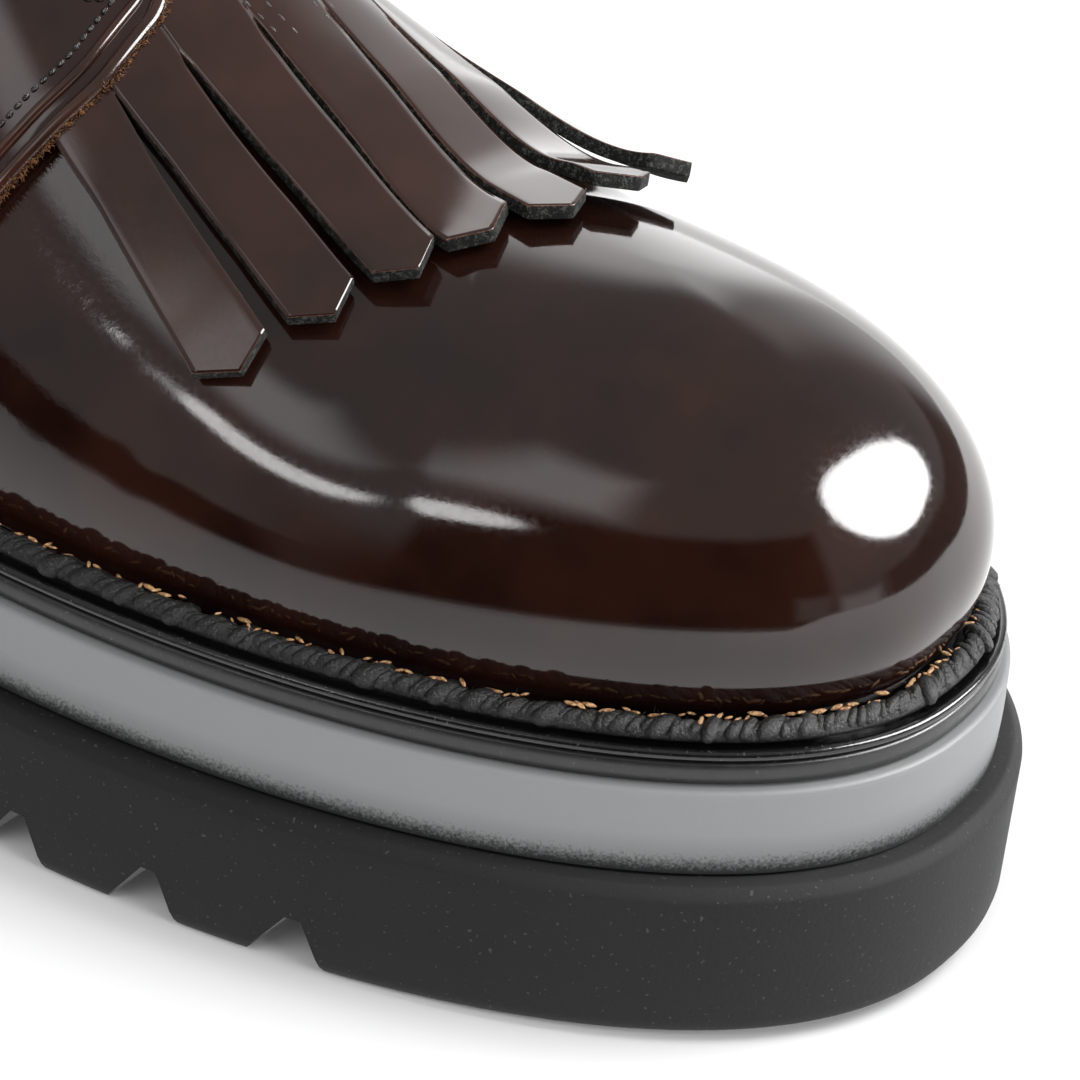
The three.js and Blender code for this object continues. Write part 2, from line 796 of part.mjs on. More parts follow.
function makeKiltie() {
  let solid = makeKiltieBand().add(makeKiltieTab());
  for (const row of kiltieRows) solid = solid.add(toSolid(makeStrip(row)));
  for (const side of [-1, 1]) solid = solid.subtract(makeQuarter(side, overlayGap));
  return fromSolid(clearOfUpper(solid, tabBack - 10, apexX));
}

// One plate of the sole between two levels
function makeLayer(low, high, inset) {
  return outward(slab([
    { inset, level: (x) => low + seam + lift(x) },
    { inset, level: (x) => high + lift(x) },
  ]));
}

// A notch between two lugs: a slanted face towards the heel, a short top and a steep face towards the toe
function notchCutter(x, side) {
  const shape = new THREE.Shape([
    new THREE.Vector2(0, -2),
    new THREE.Vector2(notchLength, -2),
    new THREE.Vector2(notchLength, 0),
    new THREE.Vector2(notchLength * 0.70, notchDepth),
    new THREE.Vector2(notchLength * 0.50, notchDepth),
    new THREE.Vector2(0, 0),
  ]);
  const block = new THREE.ExtrudeGeometry(shape, { depth: notchReach + 10, bevelEnabled: false });
  block.rotateX(Math.PI / 2);
  const edgeY = sideEdge(x + notchLength / 2, side);
  const near = side < 0 ? edgeY - 10 : edgeY - notchReach;
  block.translate(x, near + notchReach + 10, undersideLift(x + notchLength / 2));
  return toSolid(block);
}

// The lugged outsole, with a flat heel, an arch, a bevelled top edge and notches on both sides
function makeOutsole() {
  const lowInset = 0.7;
  let solid = toSolid(outward(slab([
    { inset: lowInset, level: (x) => undersideLift(x) },
    { inset: 0, level: (x) => undersideLift(x) + 2 },
    { inset: 0, level: (x) => outsoleTop - bevel + lift(x) },
    { inset: bevel, level: (x) => outsoleTop + lift(x) },
  ])));
  const starts = [];
  for (let i = 0; i < foreNotches; i += 1) starts.push(soleLength * firstNotchAt - i * notchPitch);
  for (let i = 0; i < heelNotches; i += 1) starts.push(soleLength * heelNotchAt + i * notchPitch);
  for (const x of starts) {
    for (const side of [-1, 1]) solid = solid.subtract(notchCutter(x, side));
  }
  return fromSolid(solid);
}

// The braid that lies along the welt, a low rounded bead outside the feather line
function makeBraid() {
  const outer = blackInset + 0.6;
  const corners = [
    { inset: outer, up: seam },
    { inset: outer + braidWidth * 0.25, up: seam + braidHeight },
    { inset: outer + braidWidth * 0.7, up: seam + braidHeight },
    { inset: outer + braidWidth, up: seam },
  ];
  return outward(soleRing(corners, soleTop));
}

// The insole lies inside the upper, on the welt's plate
function makeInsole() {
  const inset = featherInsetRear + wall + seam;
  return outward(slab([
    { inset, level: (x) => soleTop(x) + seam },
    { inset, level: (x) => soleTop(x) + seam + insoleThick },
  ]));
}

// The middle of an eyelet on the upper's surface, and the way out of it
function eyeletPlace(side, pair) {
  const x = eyeletFirstX - pair * eyeletPitch;
  return overForepart(x, crownY(x) + side * (facingGap + eyeletFromEdge));
}

function alongNormal(geometry, { point, normal }, out) {
  const turn = new THREE.Quaternion().setFromUnitVectors(new THREE.Vector3(0, 1, 0), normal);
  geometry.applyQuaternion(turn);
  const at = point.clone().addScaledVector(normal, out);
  return geometry.translate(at.x, at.y, at.z);
}

const quarterTop = overlayGap + quarterThick;

// A turned eyelet: a barrel through both leathers under a thin flange
function makeEyelet(side, pair) {
  const low = -wall - quarterTop + 0.2;
  const profile = [
    new THREE.Vector2(eyeletBore, low),
    new THREE.Vector2(eyeletBarrel, low),
    new THREE.Vector2(eyeletBarrel, seam),
    new THREE.Vector2(eyeletFlange, seam),
    new THREE.Vector2(eyeletFlange - 0.5, seam + flangeThick),
    new THREE.Vector2(eyeletBore, seam + flangeThick),
    new THREE.Vector2(eyeletBore, low),
  ];
  const ring = new THREE.LatheGeometry(profile, 8);
  return outward(meshTidy(alongNormal(ring, eyeletPlace(side, pair), quarterTop)));
}

function eyeletHole(side, pair) {
  const drill = new THREE.CylinderGeometry(eyeletBarrel + 0.3, eyeletBarrel + 0.3, 16, 8);
  return toSolid(alongNormal(drill, eyeletPlace(side, pair), 0));
}

function withEyeletHoles(solid, sides) {
  let rest = solid;
  for (const side of sides) {
    for (let pair = 0; pair < eyeletPairs; pair += 1) rest = rest.subtract(eyeletHole(side, pair));
  }
  return rest;
}

function makeFacing(side) {
  return withEyeletHoles(makeQuarter(side, 0), [side]);
}

// A bar of lace: out of one eyelet, across the instep and into the other
function makeLaceBar(pair) {
  const x = eyeletFirstX - pair * eyeletPitch;
  const rest = quarterTop + seam + flangeThick + laceRadius + 0.3;
  const points = [];
  const shares = [-1, -0.72, -0.4, 0, 0.4, 0.72, 1];
  const outs = [0.35, 0.1, -0.5, -0.9, -0.5, 0.1, 0.35];
  shares.forEach((share, i) => {
    const { point, normal } = overForepart(x, crownY(x) + share * (facingGap + eyeletFromEdge));
    points.push(point.addScaledVector(normal, rest + outs[i]));
  });
  for (const side of [-1, 1]) {
    const { point, normal } = eyeletPlace(side, pair);
    const low = point.clone().addScaledVector(normal, -wall - 0.2);
    const high = point.clone().addScaledVector(normal, quarterTop + 0.6);
    if (side < 0) points.splice(0, 0, low, high);
    else points.push(high, low);
  }
  const path = new THREE.CatmullRomCurve3(points, false, 'centripetal');
  const round = new THREE.Shape();
  for (let i = 0; i < 6; i += 1) {
    const turn = i / 6 * 2 * Math.PI;
    const at = [laceRadius * Math.cos(turn), laceRadius * Math.sin(turn)];
    if (i === 0) round.moveTo(...at);
    else round.lineTo(...at);
  }
  round.closePath();
  const cord = new THREE.ExtrudeGeometry(round, { steps: laceSteps, bevelEnabled: false, extrudePath: path });
  return outward(meshTidy(cord));
}

const leather = new THREE.MeshStandardMaterial({ color: 0x2e1712, roughness: 0.12, metalness: 0 });
const foam = new THREE.MeshStandardMaterial({ color: 0x191919, roughness: 0.85, metalness: 0 });
const greyRubber = new THREE.MeshStandardMaterial({ color: 0x8f9194, roughness: 0.55, metalness: 0 });
const blackRubber = new THREE.MeshStandardMaterial({ color: 0x101011, roughness: 0.3, metalness: 0 });
const braid = new THREE.MeshStandardMaterial({ color: 0x121211, roughness: 0.6, metalness: 0 });
const lining = new THREE.MeshStandardMaterial({ color: 0xb08a63, roughness: 0.7, metalness: 0 });
const metal = new THREE.MeshStandardMaterial({ color: 0x1a1715, roughness: 0.35, metalness: 0.9 });
const lace = new THREE.MeshStandardMaterial({ color: 0x140d0b, roughness: 0.6, metalness: 0 });

const group = new THREE.Group();
const model = new THREE.Group();
group.add(model);

function place(name, geometry, material) {
  const mesh = new THREE.Mesh(geometry, material);
  mesh.name = name;
  model.add(mesh);
}

place('outsole', makeOutsole(), foam);
place('midsole_grey', makeLayer(outsoleTop, greyTop, greyInset), greyRubber);
place('midsole_black', makeLayer(greyTop, blackTop, blackInset), blackRubber);
place('welt', makeLayer(blackTop, weltTop, blackInset), blackRubber);
place('welt_braid', makeBraid(), braid);
place('insole', makeInsole(), lining);
place('upper', makeUpper(), leather);
place('quarter_outer', fromSolid(makeFacing(-1)), leather);
place('quarter_inner', fromSolid(makeFacing(1)), leather);
place('back_strip', makeBackStrip(), leather);
place('tongue', makeTongue(), leather);
place('kiltie', makeKiltie(), leather);
for (const side of [-1, 1]) {
  for (let pair = 0; pair < eyeletPairs; pair += 1) {
    const name = `eyelet_${side < 0 ? 'outer' : 'inner'}_${pair + 1}`;
    place(name, makeEyelet(side, pair), metal);
  }
}
for (let pair = 0; pair < eyeletPairs; pair += 1) place(`lace_bar_${pair + 1}`, makeLaceBar(pair), lace);

const box = new THREE.Box3().setFromObject(model);
model.position.set(-(box.min.x + box.max.x) / 2, -(box.min.y + box.max.y) / 2, -box.min.z);

export default group;
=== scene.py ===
# Kiltie derby shoe on a thick layered sole, dressed for a studio photograph.
# Sizes are millimetres in the shoe's own frame, X from the heel's back to the toe, and turn to metres in toFrame.
import math
import bmesh
import bpy
import numpy as np
from mathutils import Matrix, Vector
from mathutils.kdtree import KDTree


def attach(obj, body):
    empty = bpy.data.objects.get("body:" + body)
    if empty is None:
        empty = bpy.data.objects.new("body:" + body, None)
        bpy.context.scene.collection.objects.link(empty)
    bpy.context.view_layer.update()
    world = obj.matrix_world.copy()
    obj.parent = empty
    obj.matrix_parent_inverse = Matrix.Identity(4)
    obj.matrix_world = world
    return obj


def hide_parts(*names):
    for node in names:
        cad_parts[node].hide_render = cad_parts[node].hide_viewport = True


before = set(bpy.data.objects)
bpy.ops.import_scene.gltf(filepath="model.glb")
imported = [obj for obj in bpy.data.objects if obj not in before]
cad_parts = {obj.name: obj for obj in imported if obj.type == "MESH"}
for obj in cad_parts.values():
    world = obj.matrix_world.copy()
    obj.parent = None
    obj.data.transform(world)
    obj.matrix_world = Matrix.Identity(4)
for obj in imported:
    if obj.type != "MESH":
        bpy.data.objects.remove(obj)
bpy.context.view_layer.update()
middleX = 152.0  # from the heel's back to the frame's origin
print("frame loaded,", len(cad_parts), "nodes")

cameraAt = {
    "azimuth": 32.7, "elevation": 32.0, "roll": 5.85,
    "distance": 480.0, "aim": (247.1, -10.0, 43.5), "lens": 133.67,
}


def toFrame(points):
    return (np.asarray(points, float).reshape(-1, 3) - [middleX, 0, 0]) / 1000


def makeCamera(at):
    a, e, roll = (math.radians(at[key]) for key in ("azimuth", "elevation", "roll"))
    back = Vector((math.sin(a) * math.cos(e), -math.cos(a) * math.cos(e), math.sin(e)))
    right = Vector((math.cos(a), math.sin(a), 0))
    up = back.cross(right)
    across = right * math.cos(roll) + up * math.sin(roll)
    upward = up * math.cos(roll) - right * math.sin(roll)
    data = bpy.data.cameras.new("camera")
    data.lens = at["lens"]
    data.sensor_width = 36
    data.clip_start = 0.01
    data.clip_end = 30
    camera = bpy.data.objects.new("camera", data)
    bpy.context.scene.collection.objects.link(camera)
    place = Vector(toFrame(at["aim"])[0]) + back * at["distance"] / 1000
    camera.matrix_world = Matrix.Translation(place) @ Matrix((across, upward, back)).transposed().to_4x4()
    bpy.context.scene.camera = camera


makeCamera(cameraAt)


# A shader value that adds its Math nodes when it stands in an expression
class Signal:
    def __init__(self, tree, socket):
        self.tree = tree
        self.socket = socket

    def joined(self, operation, first, second):
        node = self.tree.nodes.new("ShaderNodeMath")
        node.operation = operation
        for slot, value in zip(node.inputs, (first, second)):
            if isinstance(value, Signal):
                self.tree.links.new(value.socket, slot)
            else:
                slot.default_value = value
        return Signal(self.tree, node.outputs[0])

    def __add__(self, other):
        return self.joined("ADD", self, other)

    def __radd__(self, other):
        return self.joined("ADD", other, self)

    def __sub__(self, other):
        return self.joined("SUBTRACT", self, other)

    def __rsub__(self, other):
        return self.joined("SUBTRACT", other, self)

    def __mul__(self, other):
        return self.joined("MULTIPLY", self, other)

    def __rmul__(self, other):
        return self.joined("MULTIPLY", other, self)

    def __truediv__(self, other):
        return self.joined("DIVIDE", self, other)

    def __rtruediv__(self, other):
        return self.joined("DIVIDE", other, self)


# A finish: one material with its Principled shader and the nodes that feed it
class Finish:
    def __init__(self, name, **plain):
        self.material = bpy.data.materials.new(name)
        self.material.use_nodes = True
        self.tree = self.material.node_tree
        self.shader = self.tree.nodes["Principled BSDF"]
        for key, value in plain.items():
            self.shader.inputs[key.replace("_", " ")].default_value = value

    def node(self, kind, settings=None, sockets=None, out=0):
        node = self.tree.nodes.new(kind)
        for key, value in (settings or {}).items():
            if key == "stops":
                ramp = node.color_ramp.elements
                while len(ramp) < len(value):
                    ramp.new(0.5)
                for element, (position, color) in zip(ramp, value):
                    element.position = position
                    element.color = (*color, 1)
            else:
                setattr(node, key, value)
        for key, value in (sockets or {}).items():
            slot = node.inputs[key]
            if isinstance(value, Signal):
                self.tree.links.new(value.socket, slot)
            else:
                slot.default_value = value
        return Signal(self.tree, node.outputs[out])

    def place(self):
        return self.node("ShaderNodeTexCoord", out="Object")

    def noise(self, scale, detail=2.0, rough=0.5, at=None):
        vector = self.place() if at is None else at
        sockets = {"Vector": vector, "Scale": scale, "Detail": detail, "Roughness": rough}
        return self.node("ShaderNodeTexNoise", sockets=sockets)

    def span(self, value, low, high, toLow=0.0, toHigh=1.0):
        sockets = {"Value": value, "From Min": low, "From Max": high, "To Min": toLow, "To Max": toHigh}
        return self.node("ShaderNodeMapRange", {"clamp": True}, sockets)

    def mixed(self, share, first, second):
        def whole(color):
            return color if isinstance(color, Signal) else (*color, 1)
        sockets = {0: share, 6: whole(first), 7: whole(second)}
        return self.node("ShaderNodeMix", {"data_type": "RGBA"}, sockets, out=2)

    def attribute(self, name):
        return self.node("ShaderNodeAttribute", {"attribute_name": name}, out="Fac")

    def feed(self, **links):
        for key, value in links.items():
            self.tree.links.new(value.socket, self.shader.inputs[key.replace("_", " ")])
        return self

    def bumped(self, height, depth):
        normal = self.node("ShaderNodeBump", sockets={"Height": height, "Distance": depth / 1000, "Strength": 1.0})
        return self.feed(Normal=normal)



# Sizes of the shoe in millimetres, X from the heel's back to the toe
shoe = {
    "length": 304.0, "ballWidth": 112.0, "heelWidth": 80.0, "toeShift": 2.6,
    "heelRoundAt": 0.15, "ballOuterAt": 0.6316, "ballInnerAt": 0.72, "halfCount": 40,
    "outsoleHeight": 20.6, "greyHeight": 11.9, "blackHeight": 3.2, "weltHeight": 1.56,
    "heelRise": 14.0, "toeSpring": 2.0, "springReach": 95.0, "archHeight": 8.0,
    "greyInset": 3.35, "blackInset": 4.6, "bevel": 1.3, "seam": 0.3,
}
last = {
    "wall": 2.0, "featherInset": 11.0, "featherInsetRear": 13.2, "sideBulge": 8.0, "apexAt": 0.822,
    "foldStartAt": 0.4934, "throatX": 181.0, "ridgeStartX": 126.0, "collarHalf": 27.0,
    "facingGap": 11.0, "heelLean": 2.0, "instepHeight": 87.0,
}
outerSide = [(0.15, 0), (0.27, 0.0625), (0.40, 0.344), (0.52, 0.8125), (0.6316, 1)]
innerSide = [(0.15, 0), (0.27, -0.031), (0.42, 0.0625), (0.58, 0.625), (0.72, 1)]
riseRows = [(0, 1), (0.18, 0.93), (0.42, 0.43), (0.62, 0.02), (1.01, 0)]
archRows = [(0, 0), (0.285, 0), (0.33, 1), (0.42, 0.85), (0.53, 0), (1.01, 0)]
crownRows = [(0.030, 0.690), (0.12, 0.632), (0.22, 0.621), (0.32, 0.828), (0.375, 1), (0.45, 0.937),
             (0.53, 0.812), (0.60, 0.678), (0.68, 0.545), (0.75, 0.462), (0.825, 0.463)]
bulgeRows = [(0, 0.9), (0.20, 0.7), (0.50, 0.6), (0.72, 0.96), (0.82, 1.16), (0.90, 1.46), (1.0, 1.66)]
reachRows = [(0, 0.60), (0.20, 0.60), (0.50, 0.54), (0.72, 0.47), (0.82, 0.54), (0.90, 0.63), (1.0, 0.74)]
leanRows = [(0, 80), (0.17, 80), (0.30, 68), (0.36, 40), (0.42, 0), (1.01, 0)]
# The quarters' front edge: share of the way to the sole's edge, and place along the shoe
quarterFront = [(0, 0.560), (0.16, 0.600), (0.28, 0.613), (0.40, 0.614), (0.54, 0.608),
                (0.66, 0.599), (0.78, 0.580), (0.90, 0.548), (1.05, 0.480)]


def blend(a, b, t):
    return a + (b - a) * t


def readTable(rows, x, flatEnds=False):
    at = np.array([row[0] for row in rows], float)
    value = np.array([row[1] for row in rows], float)
    step = np.diff(at)
    slope = np.diff(value) / step
    tangent = np.zeros(len(at))
    if not flatEnds:
        tangent[0], tangent[-1] = slope[0], slope[-1]
    for i in range(1, len(at) - 1):
        if slope[i - 1] * slope[i] > 0:
            before = 2 * step[i] + step[i - 1]
            after = step[i] + 2 * step[i - 1]
            tangent[i] = (before + after) / (before / slope[i - 1] + after / slope[i])
    x = np.asarray(x, float)
    i = np.clip(np.searchsorted(at, x) - 1, 0, len(at) - 2)
    t = np.clip((x - at[i]) / step[i], 0, 1)
    u = 1 - t
    return ((1 + 2 * t) * u * u * value[i] + t * u * u * step[i] * tangent[i]
            + t * t * (3 - 2 * t) * value[i + 1] - t * t * u * step[i] * tangent[i + 1])


def sideEdge(x, side):
    at = np.clip(x / shoe["length"], 0, 1)
    heelHalf, ballHalf = shoe["heelWidth"] / 2, shoe["ballWidth"] / 2
    back = np.clip(1 - at / shoe["heelRoundAt"], 0, 1)
    heel = side * heelHalf * (1 - back ** 2.25) ** (1 / 2.25)
    out = np.where(side < 0, readTable(outerSide, at, True), readTable(innerSide, at, True))
    middle = side * blend(heelHalf, ballHalf, out)
    ballAt = np.where(side < 0, shoe["ballOuterAt"], shoe["ballInnerAt"])
    ahead = np.clip((at - ballAt) / (1 - ballAt), 0, 1)
    along = np.where(side < 0, 1.95, 2.1)
    across = np.where(side < 0, 2.18, 2.2)
    reach = side * ballHalf - shoe["toeShift"]
    toe = shoe["toeShift"] + reach * np.maximum(1 - ahead ** along, 0) ** (1 / across)
    return np.where(at < shoe["heelRoundAt"], heel, np.where(at < ballAt, middle, toe))


def folded(station):
    whole = 2 * shoe["halfCount"]
    s = np.mod(np.asarray(station, float), whole)
    side = np.where(s <= shoe["halfCount"], -1.0, 1.0)
    return side, np.where(s <= shoe["halfCount"], s, whole - s)


def planPoint(station):
    side, k = folded(station)
    x = shoe["length"] * (1 - np.cos(np.pi * k / shoe["halfCount"])) / 2
    return np.stack([x, sideEdge(x, side)], -1)


def planNormal(station):
    run = planPoint(station + 0.25) - planPoint(station - 0.25)
    run /= np.linalg.norm(run, axis=-1, keepdims=True)
    return np.stack([run[..., 1], -run[..., 0]], -1)


def insetPoint(station, inset):
    return planPoint(station) - planNormal(station) * np.asarray(inset)[..., None]


def spring(x):
    return shoe["toeSpring"] * (np.maximum(x - shoe["length"] + shoe["springReach"], 0) / shoe["springReach"]) ** 2


def lift(x):
    return shoe["heelRise"] * readTable(riseRows, x / shoe["length"]) + spring(x)


def undersideLift(x):
    return shoe["archHeight"] * readTable(archRows, x / shoe["length"]) + spring(x)


greyTop = shoe["outsoleHeight"] + shoe["greyHeight"]
blackTop = greyTop + shoe["blackHeight"]
weltTop = blackTop + shoe["weltHeight"]


def soleTop(x):
    return weltTop + lift(x)


toeFeatherX = shoe["length"] - last["featherInset"]
apexX = last["apexAt"] * shoe["length"]
foldStartX = last["foldStartAt"] * shoe["length"]
collarBackX = last["featherInsetRear"] + last["heelLean"]
collarWideX = collarBackX + last["collarHalf"] * 1.67


def crownX(k):
    x = shoe["length"] * (1 - np.cos(np.pi * k / shoe["halfCount"])) / 2
    footX = blend(last["featherInsetRear"], shoe["length"] - last["featherInset"], x / shoe["length"])
    t = np.clip((footX - foldStartX) / (toeFeatherX - foldStartX), 0, 1)
    power = (toeFeatherX - foldStartX) / (apexX - foldStartX)
    onCrown = blend(foldStartX, apexX, 1 - (1 - t) ** power)
    nearHeel = np.clip(1 - (footX - last["featherInsetRear"]) / (shoe["heelRoundAt"] * shoe["length"]), 0, 1)
    rear = footX + last["heelLean"] * nearHeel ** 1.5
    return np.where(footX > foldStartX, onCrown, rear)


def crownY(x):
    return shoe["toeShift"] * np.clip(x / last["throatX"], 0, 1)


def crownZ(x):
    return soleTop(x) + last["instepHeight"] * readTable(crownRows, x / shoe["length"])


def halfGap(x):
    back = np.clip((x - collarBackX) / (collarWideX - collarBackX), 0, 1)
    roundGap = last["collarHalf"] * (1 - (1 - back) ** 2.3) ** (1 / 2.3)
    ahead = np.clip((x - collarWideX) / (last["ridgeStartX"] - collarWideX), 0, 1)
    return np.where(x >= last["ridgeStartX"], 0, roundGap * (1 - ahead ** 2.4) ** 0.75)


def featherInsetAt(x):
    t = np.clip((x / shoe["length"] - 0.51) / 0.1, 0, 1)
    return blend(last["featherInsetRear"], last["featherInset"], t * t * (3 - 2 * t))


def upperPoint(station, up):
    station, up = np.broadcast_arrays(np.asarray(station, float), np.asarray(up, float))
    side, k = folded(station)
    edgeX = shoe["length"] * (1 - np.cos(np.pi * k / shoe["halfCount"])) / 2
    foot2 = insetPoint(station, featherInsetAt(edgeX))
    out2 = planNormal(station)
    footZ = soleTop(foot2[..., 0]) + shoe["seam"]
    topX = crownX(k)
    topY = crownY(topX) + side * halfGap(topX)
    topZ = crownZ(topX)
    height = topZ - footZ
    awayX, awayY = foot2[..., 0] - topX, foot2[..., 1] - topY
    span = np.hypot(awayX, awayY)
    awayX, awayY = awayX / span, awayY / span
    angle = np.radians(readTable(leanRows, topX / shoe["length"]))
    slope = (crownZ(topX + 1) - crownZ(topX - 1)) / 2
    leave = np.stack([awayX * np.cos(angle), awayY * np.cos(angle),
                      slope * awayX * np.cos(angle) - np.sin(angle)], -1)
    at = np.clip(foot2[..., 0] / shoe["length"], 0, 1)
    reach = np.hypot(span, 0.35 * height * np.sin(angle)) * readTable(reachRows, at)
    bulge = last["sideBulge"] * readTable(bulgeRows, at)
    foot = np.concatenate([foot2, footZ[..., None]], -1)
    low = foot + np.concatenate([out2 * bulge[..., None], (height / 2)[..., None]], -1)
    top = np.stack([topX, topY, topZ], -1)
    near = top + leave * reach[..., None]
    t = up[..., None]
    u = 1 - t
    return u ** 3 * foot + 3 * u * u * t * low + 3 * u * t * t * near + t ** 3 * top


def upperNormal(station, up):
    station, up = np.broadcast_arrays(np.asarray(station, float), np.asarray(up, float))
    mid = np.minimum(up, 0.98)
    along = upperPoint(station + 0.25, mid) - upperPoint(station - 0.25, mid)
    rise = upperPoint(station, np.minimum(up + 0.02, 1)) - upperPoint(station, np.maximum(up - 0.02, 0))
    normal = np.cross(along, rise)
    topX = crownX(folded(station)[1])
    slope = (crownZ(topX + 1) - crownZ(topX - 1)) / 2
    ridge = np.stack([-slope, 0 * slope, 1 + 0 * slope], -1)
    onRidge = (up > 0.999) & (topX >= last["ridgeStartX"])
    normal = np.where(onRidge[..., None], ridge, normal)
    return normal / np.linalg.norm(normal, axis=-1, keepdims=True)


def upperAt(station, up, out=0.0):
    return upperPoint(station, up) + upperNormal(station, up) * np.asarray(out, float)[..., None]


leatherTones = {
    "dark": (0.0085, 0.0030, 0.0022), "warm": (0.0215, 0.0072, 0.0046),
    "stripDark": (0.0150, 0.0058, 0.0042), "stripWarm": (0.0310, 0.0112, 0.0072),
    "roughness": (0.055, 0.105), "grainDepth": 0.0035, "pebbleDepth": 0.020,
}


# Burnished leather: brown showing through black, a hair-fine grain, pebbled where the flex mark says so
def burnished(name, dark, warm, flexed=False, soften=0.0):
    finish = Finish(name, IOR=1.5, Specular_IOR_Level=0.5)
    mottle = finish.noise(30, 3.0, 0.55) * 0.65 + finish.noise(110, 2.0, 0.5) * 0.35
    color = finish.mixed(finish.span(mottle, 0.38, 0.62), dark, warm)
    low, high = leatherTones["roughness"]
    rough = finish.span(finish.noise(1400, 2.0), 0.35, 0.65, low + soften, high + soften)
    grain = finish.noise(2300, 2.0, 0.6) * 0.6 + finish.noise(5200, 1.0) * 0.4
    if flexed:
        ratio = leatherTones["pebbleDepth"] / leatherTones["grainDepth"]
        grain = grain + finish.noise(620, 3.0, 0.6) * finish.attribute("flex") * ratio
    finish.feed(Base_Color=color, Roughness=rough)
    return finish.bumped(grain, leatherTones["grainDepth"])


# Cut leather, felt-like: dark fibres with pale dust between them
def fibrous(name, dark, pale, share, rough=0.9, depth=0.12):
    finish = Finish(name, Roughness=rough, Specular_IOR_Level=0.25)
    fibres = finish.noise(3200, 3.0, 0.7)
    dust = finish.span(fibres * 0.6 + finish.noise(1300, 2.0) * 0.4, share, share + 0.12)
    return finish.feed(Base_Color=finish.mixed(dust, dark, pale)).bumped(fibres, depth)


# Matte expanded foam with sparse pale specks
def foam(name, base, speck, speckFrom=0.77):
    finish = Finish(name, Roughness=0.82, Specular_IOR_Level=0.35)
    cells = finish.noise(1500, 2.0, 0.6)
    tone = finish.span(finish.noise(40, 3.0) * 0.5 + cells * 0.5, 0.3, 0.7, 0.0, 0.35)
    body = finish.mixed(tone, base, tuple(c * 2.1 for c in base))
    specks = finish.span(finish.noise(1900, 0.0), speckFrom, speckFrom + 0.06)
    return finish.feed(Base_Color=finish.mixed(specks, body, speck)).bumped(cells, 0.05)


# The grey layer: sprayed darker along its lower edge, in specks that thin out upwards
def sprayedFoam(name):
    finish = Finish(name, Roughness=0.55, Specular_IOR_Level=0.35)
    rise = finish.attribute("rise")
    grit = finish.noise(2400, 2.0, 0.7)
    spray = finish.span(rise + (grit - 0.5) * 0.36, 0.06, 0.23, 1.0, 0.0)
    haze = finish.span(rise + (finish.noise(60, 2.0) - 0.5) * 0.1, 0.05, 0.48, 0.55, 0.0)
    plain = finish.mixed(haze, (0.237, 0.240, 0.244), (0.10, 0.10, 0.102))
    return finish.feed(Base_Color=finish.mixed(spray, plain, (0.020, 0.021, 0.022))).bumped(grit, 0.02)


def rubber(name, base, low, high, depth=0.01, grit=700):
    finish = Finish(name, Specular_IOR_Level=0.5)
    wear = finish.noise(grit, 3.0, 0.6)
    dust = finish.span(finish.noise(2100, 1.0), 0.68, 0.76, 0.0, 0.5)
    finish.feed(Base_Color=finish.mixed(dust, base, (0.10, 0.10, 0.095)), Roughness=finish.span(wear, 0.3, 0.7, low, high))
    return finish.bumped(wear, depth)


# Twisted thread: dark fibres, with pale flecks painted into the colour as glints, which are painted highlights
def twisted(name, dark, pale, rough=0.5):
    finish = Finish(name, Roughness=rough, Specular_IOR_Level=0.5)
    fibres = finish.noise(2600, 3.0, 0.7)
    painted_glint = finish.span(fibres, 0.56, 0.70)
    return finish.feed(Base_Color=finish.mixed(painted_glint, dark, pale)).bumped(fibres, 0.30)


def metalFinish(name):
    finish = Finish(name, Metallic=1.0)
    wear = finish.noise(800, 2.0)
    tone = finish.mixed(finish.span(wear, 0.4, 0.7), (0.06, 0.052, 0.045), (0.16, 0.13, 0.10))
    return finish.feed(Base_Color=tone, Roughness=finish.span(wear, 0.3, 0.7, 0.22, 0.42)).bumped(wear, 0.01)


def softLeather(name, dark, pale, rough, depth=0.06):
    finish = Finish(name, Roughness=rough, Specular_IOR_Level=0.4)
    pores = finish.noise(900, 3.0, 0.6)
    tone = finish.span(finish.noise(35, 3.0) * 0.6 + pores * 0.4, 0.35, 0.65)
    return finish.feed(Base_Color=finish.mixed(tone, dark, pale)).bumped(pores, depth)


upperLeather = burnished("burnished_leather", leatherTones["dark"], leatherTones["warm"], flexed=True)
quarterLeather = burnished("quarter_leather", leatherTones["dark"], leatherTones["warm"])
stripLeather = burnished("strip_leather", leatherTones["stripDark"], leatherTones["stripWarm"], soften=0.02)
rollLeather = burnished("rolled_leather", (0.006, 0.0025, 0.002), (0.05, 0.018, 0.010), soften=0.06)
cutEdge = fibrous("cut_edge", (0.006, 0.0065, 0.006), (0.075, 0.080, 0.072), 0.50)
rawEdge = fibrous("raw_leather", (0.075, 0.030, 0.012), (0.42, 0.19, 0.075), 0.47)
edgeLine = fibrous("burnt_edge_line", (0.050, 0.020, 0.012), (0.16, 0.066, 0.038), 0.45, 0.5, 0.03)
outsoleFoam = foam("outsole_foam", (0.0066, 0.0066, 0.0069), (0.045, 0.043, 0.040))
greyFoam = sprayedFoam("grey_foam")
midsoleRubber = rubber("black_layer", (0.0135, 0.0135, 0.0138), 0.30, 0.42)
weltRubber = rubber("welt_rubber", (0.006, 0.006, 0.006), 0.10, 0.24, 0.03, 1300)
# The second, pale tone of the cord, stitch thread and lace is a painted highlight: glints painted into their colour
cordFinish = twisted("welt_cord", (0.0035, 0.0035, 0.0035), (0.060, 0.060, 0.056))
tanThread = fibrous("tan_thread", (0.25, 0.12, 0.05), (0.75, 0.45, 0.22), 0.45, 0.7, 0.02)
stitchThread = twisted("stitch_thread", (0.006, 0.005, 0.004), (0.16, 0.145, 0.125), 0.35)
eyeletMetal = metalFinish("eyelet_metal")
laceFinish = twisted("lace", (0.006, 0.0035, 0.003), (0.030, 0.020, 0.016), 0.45)
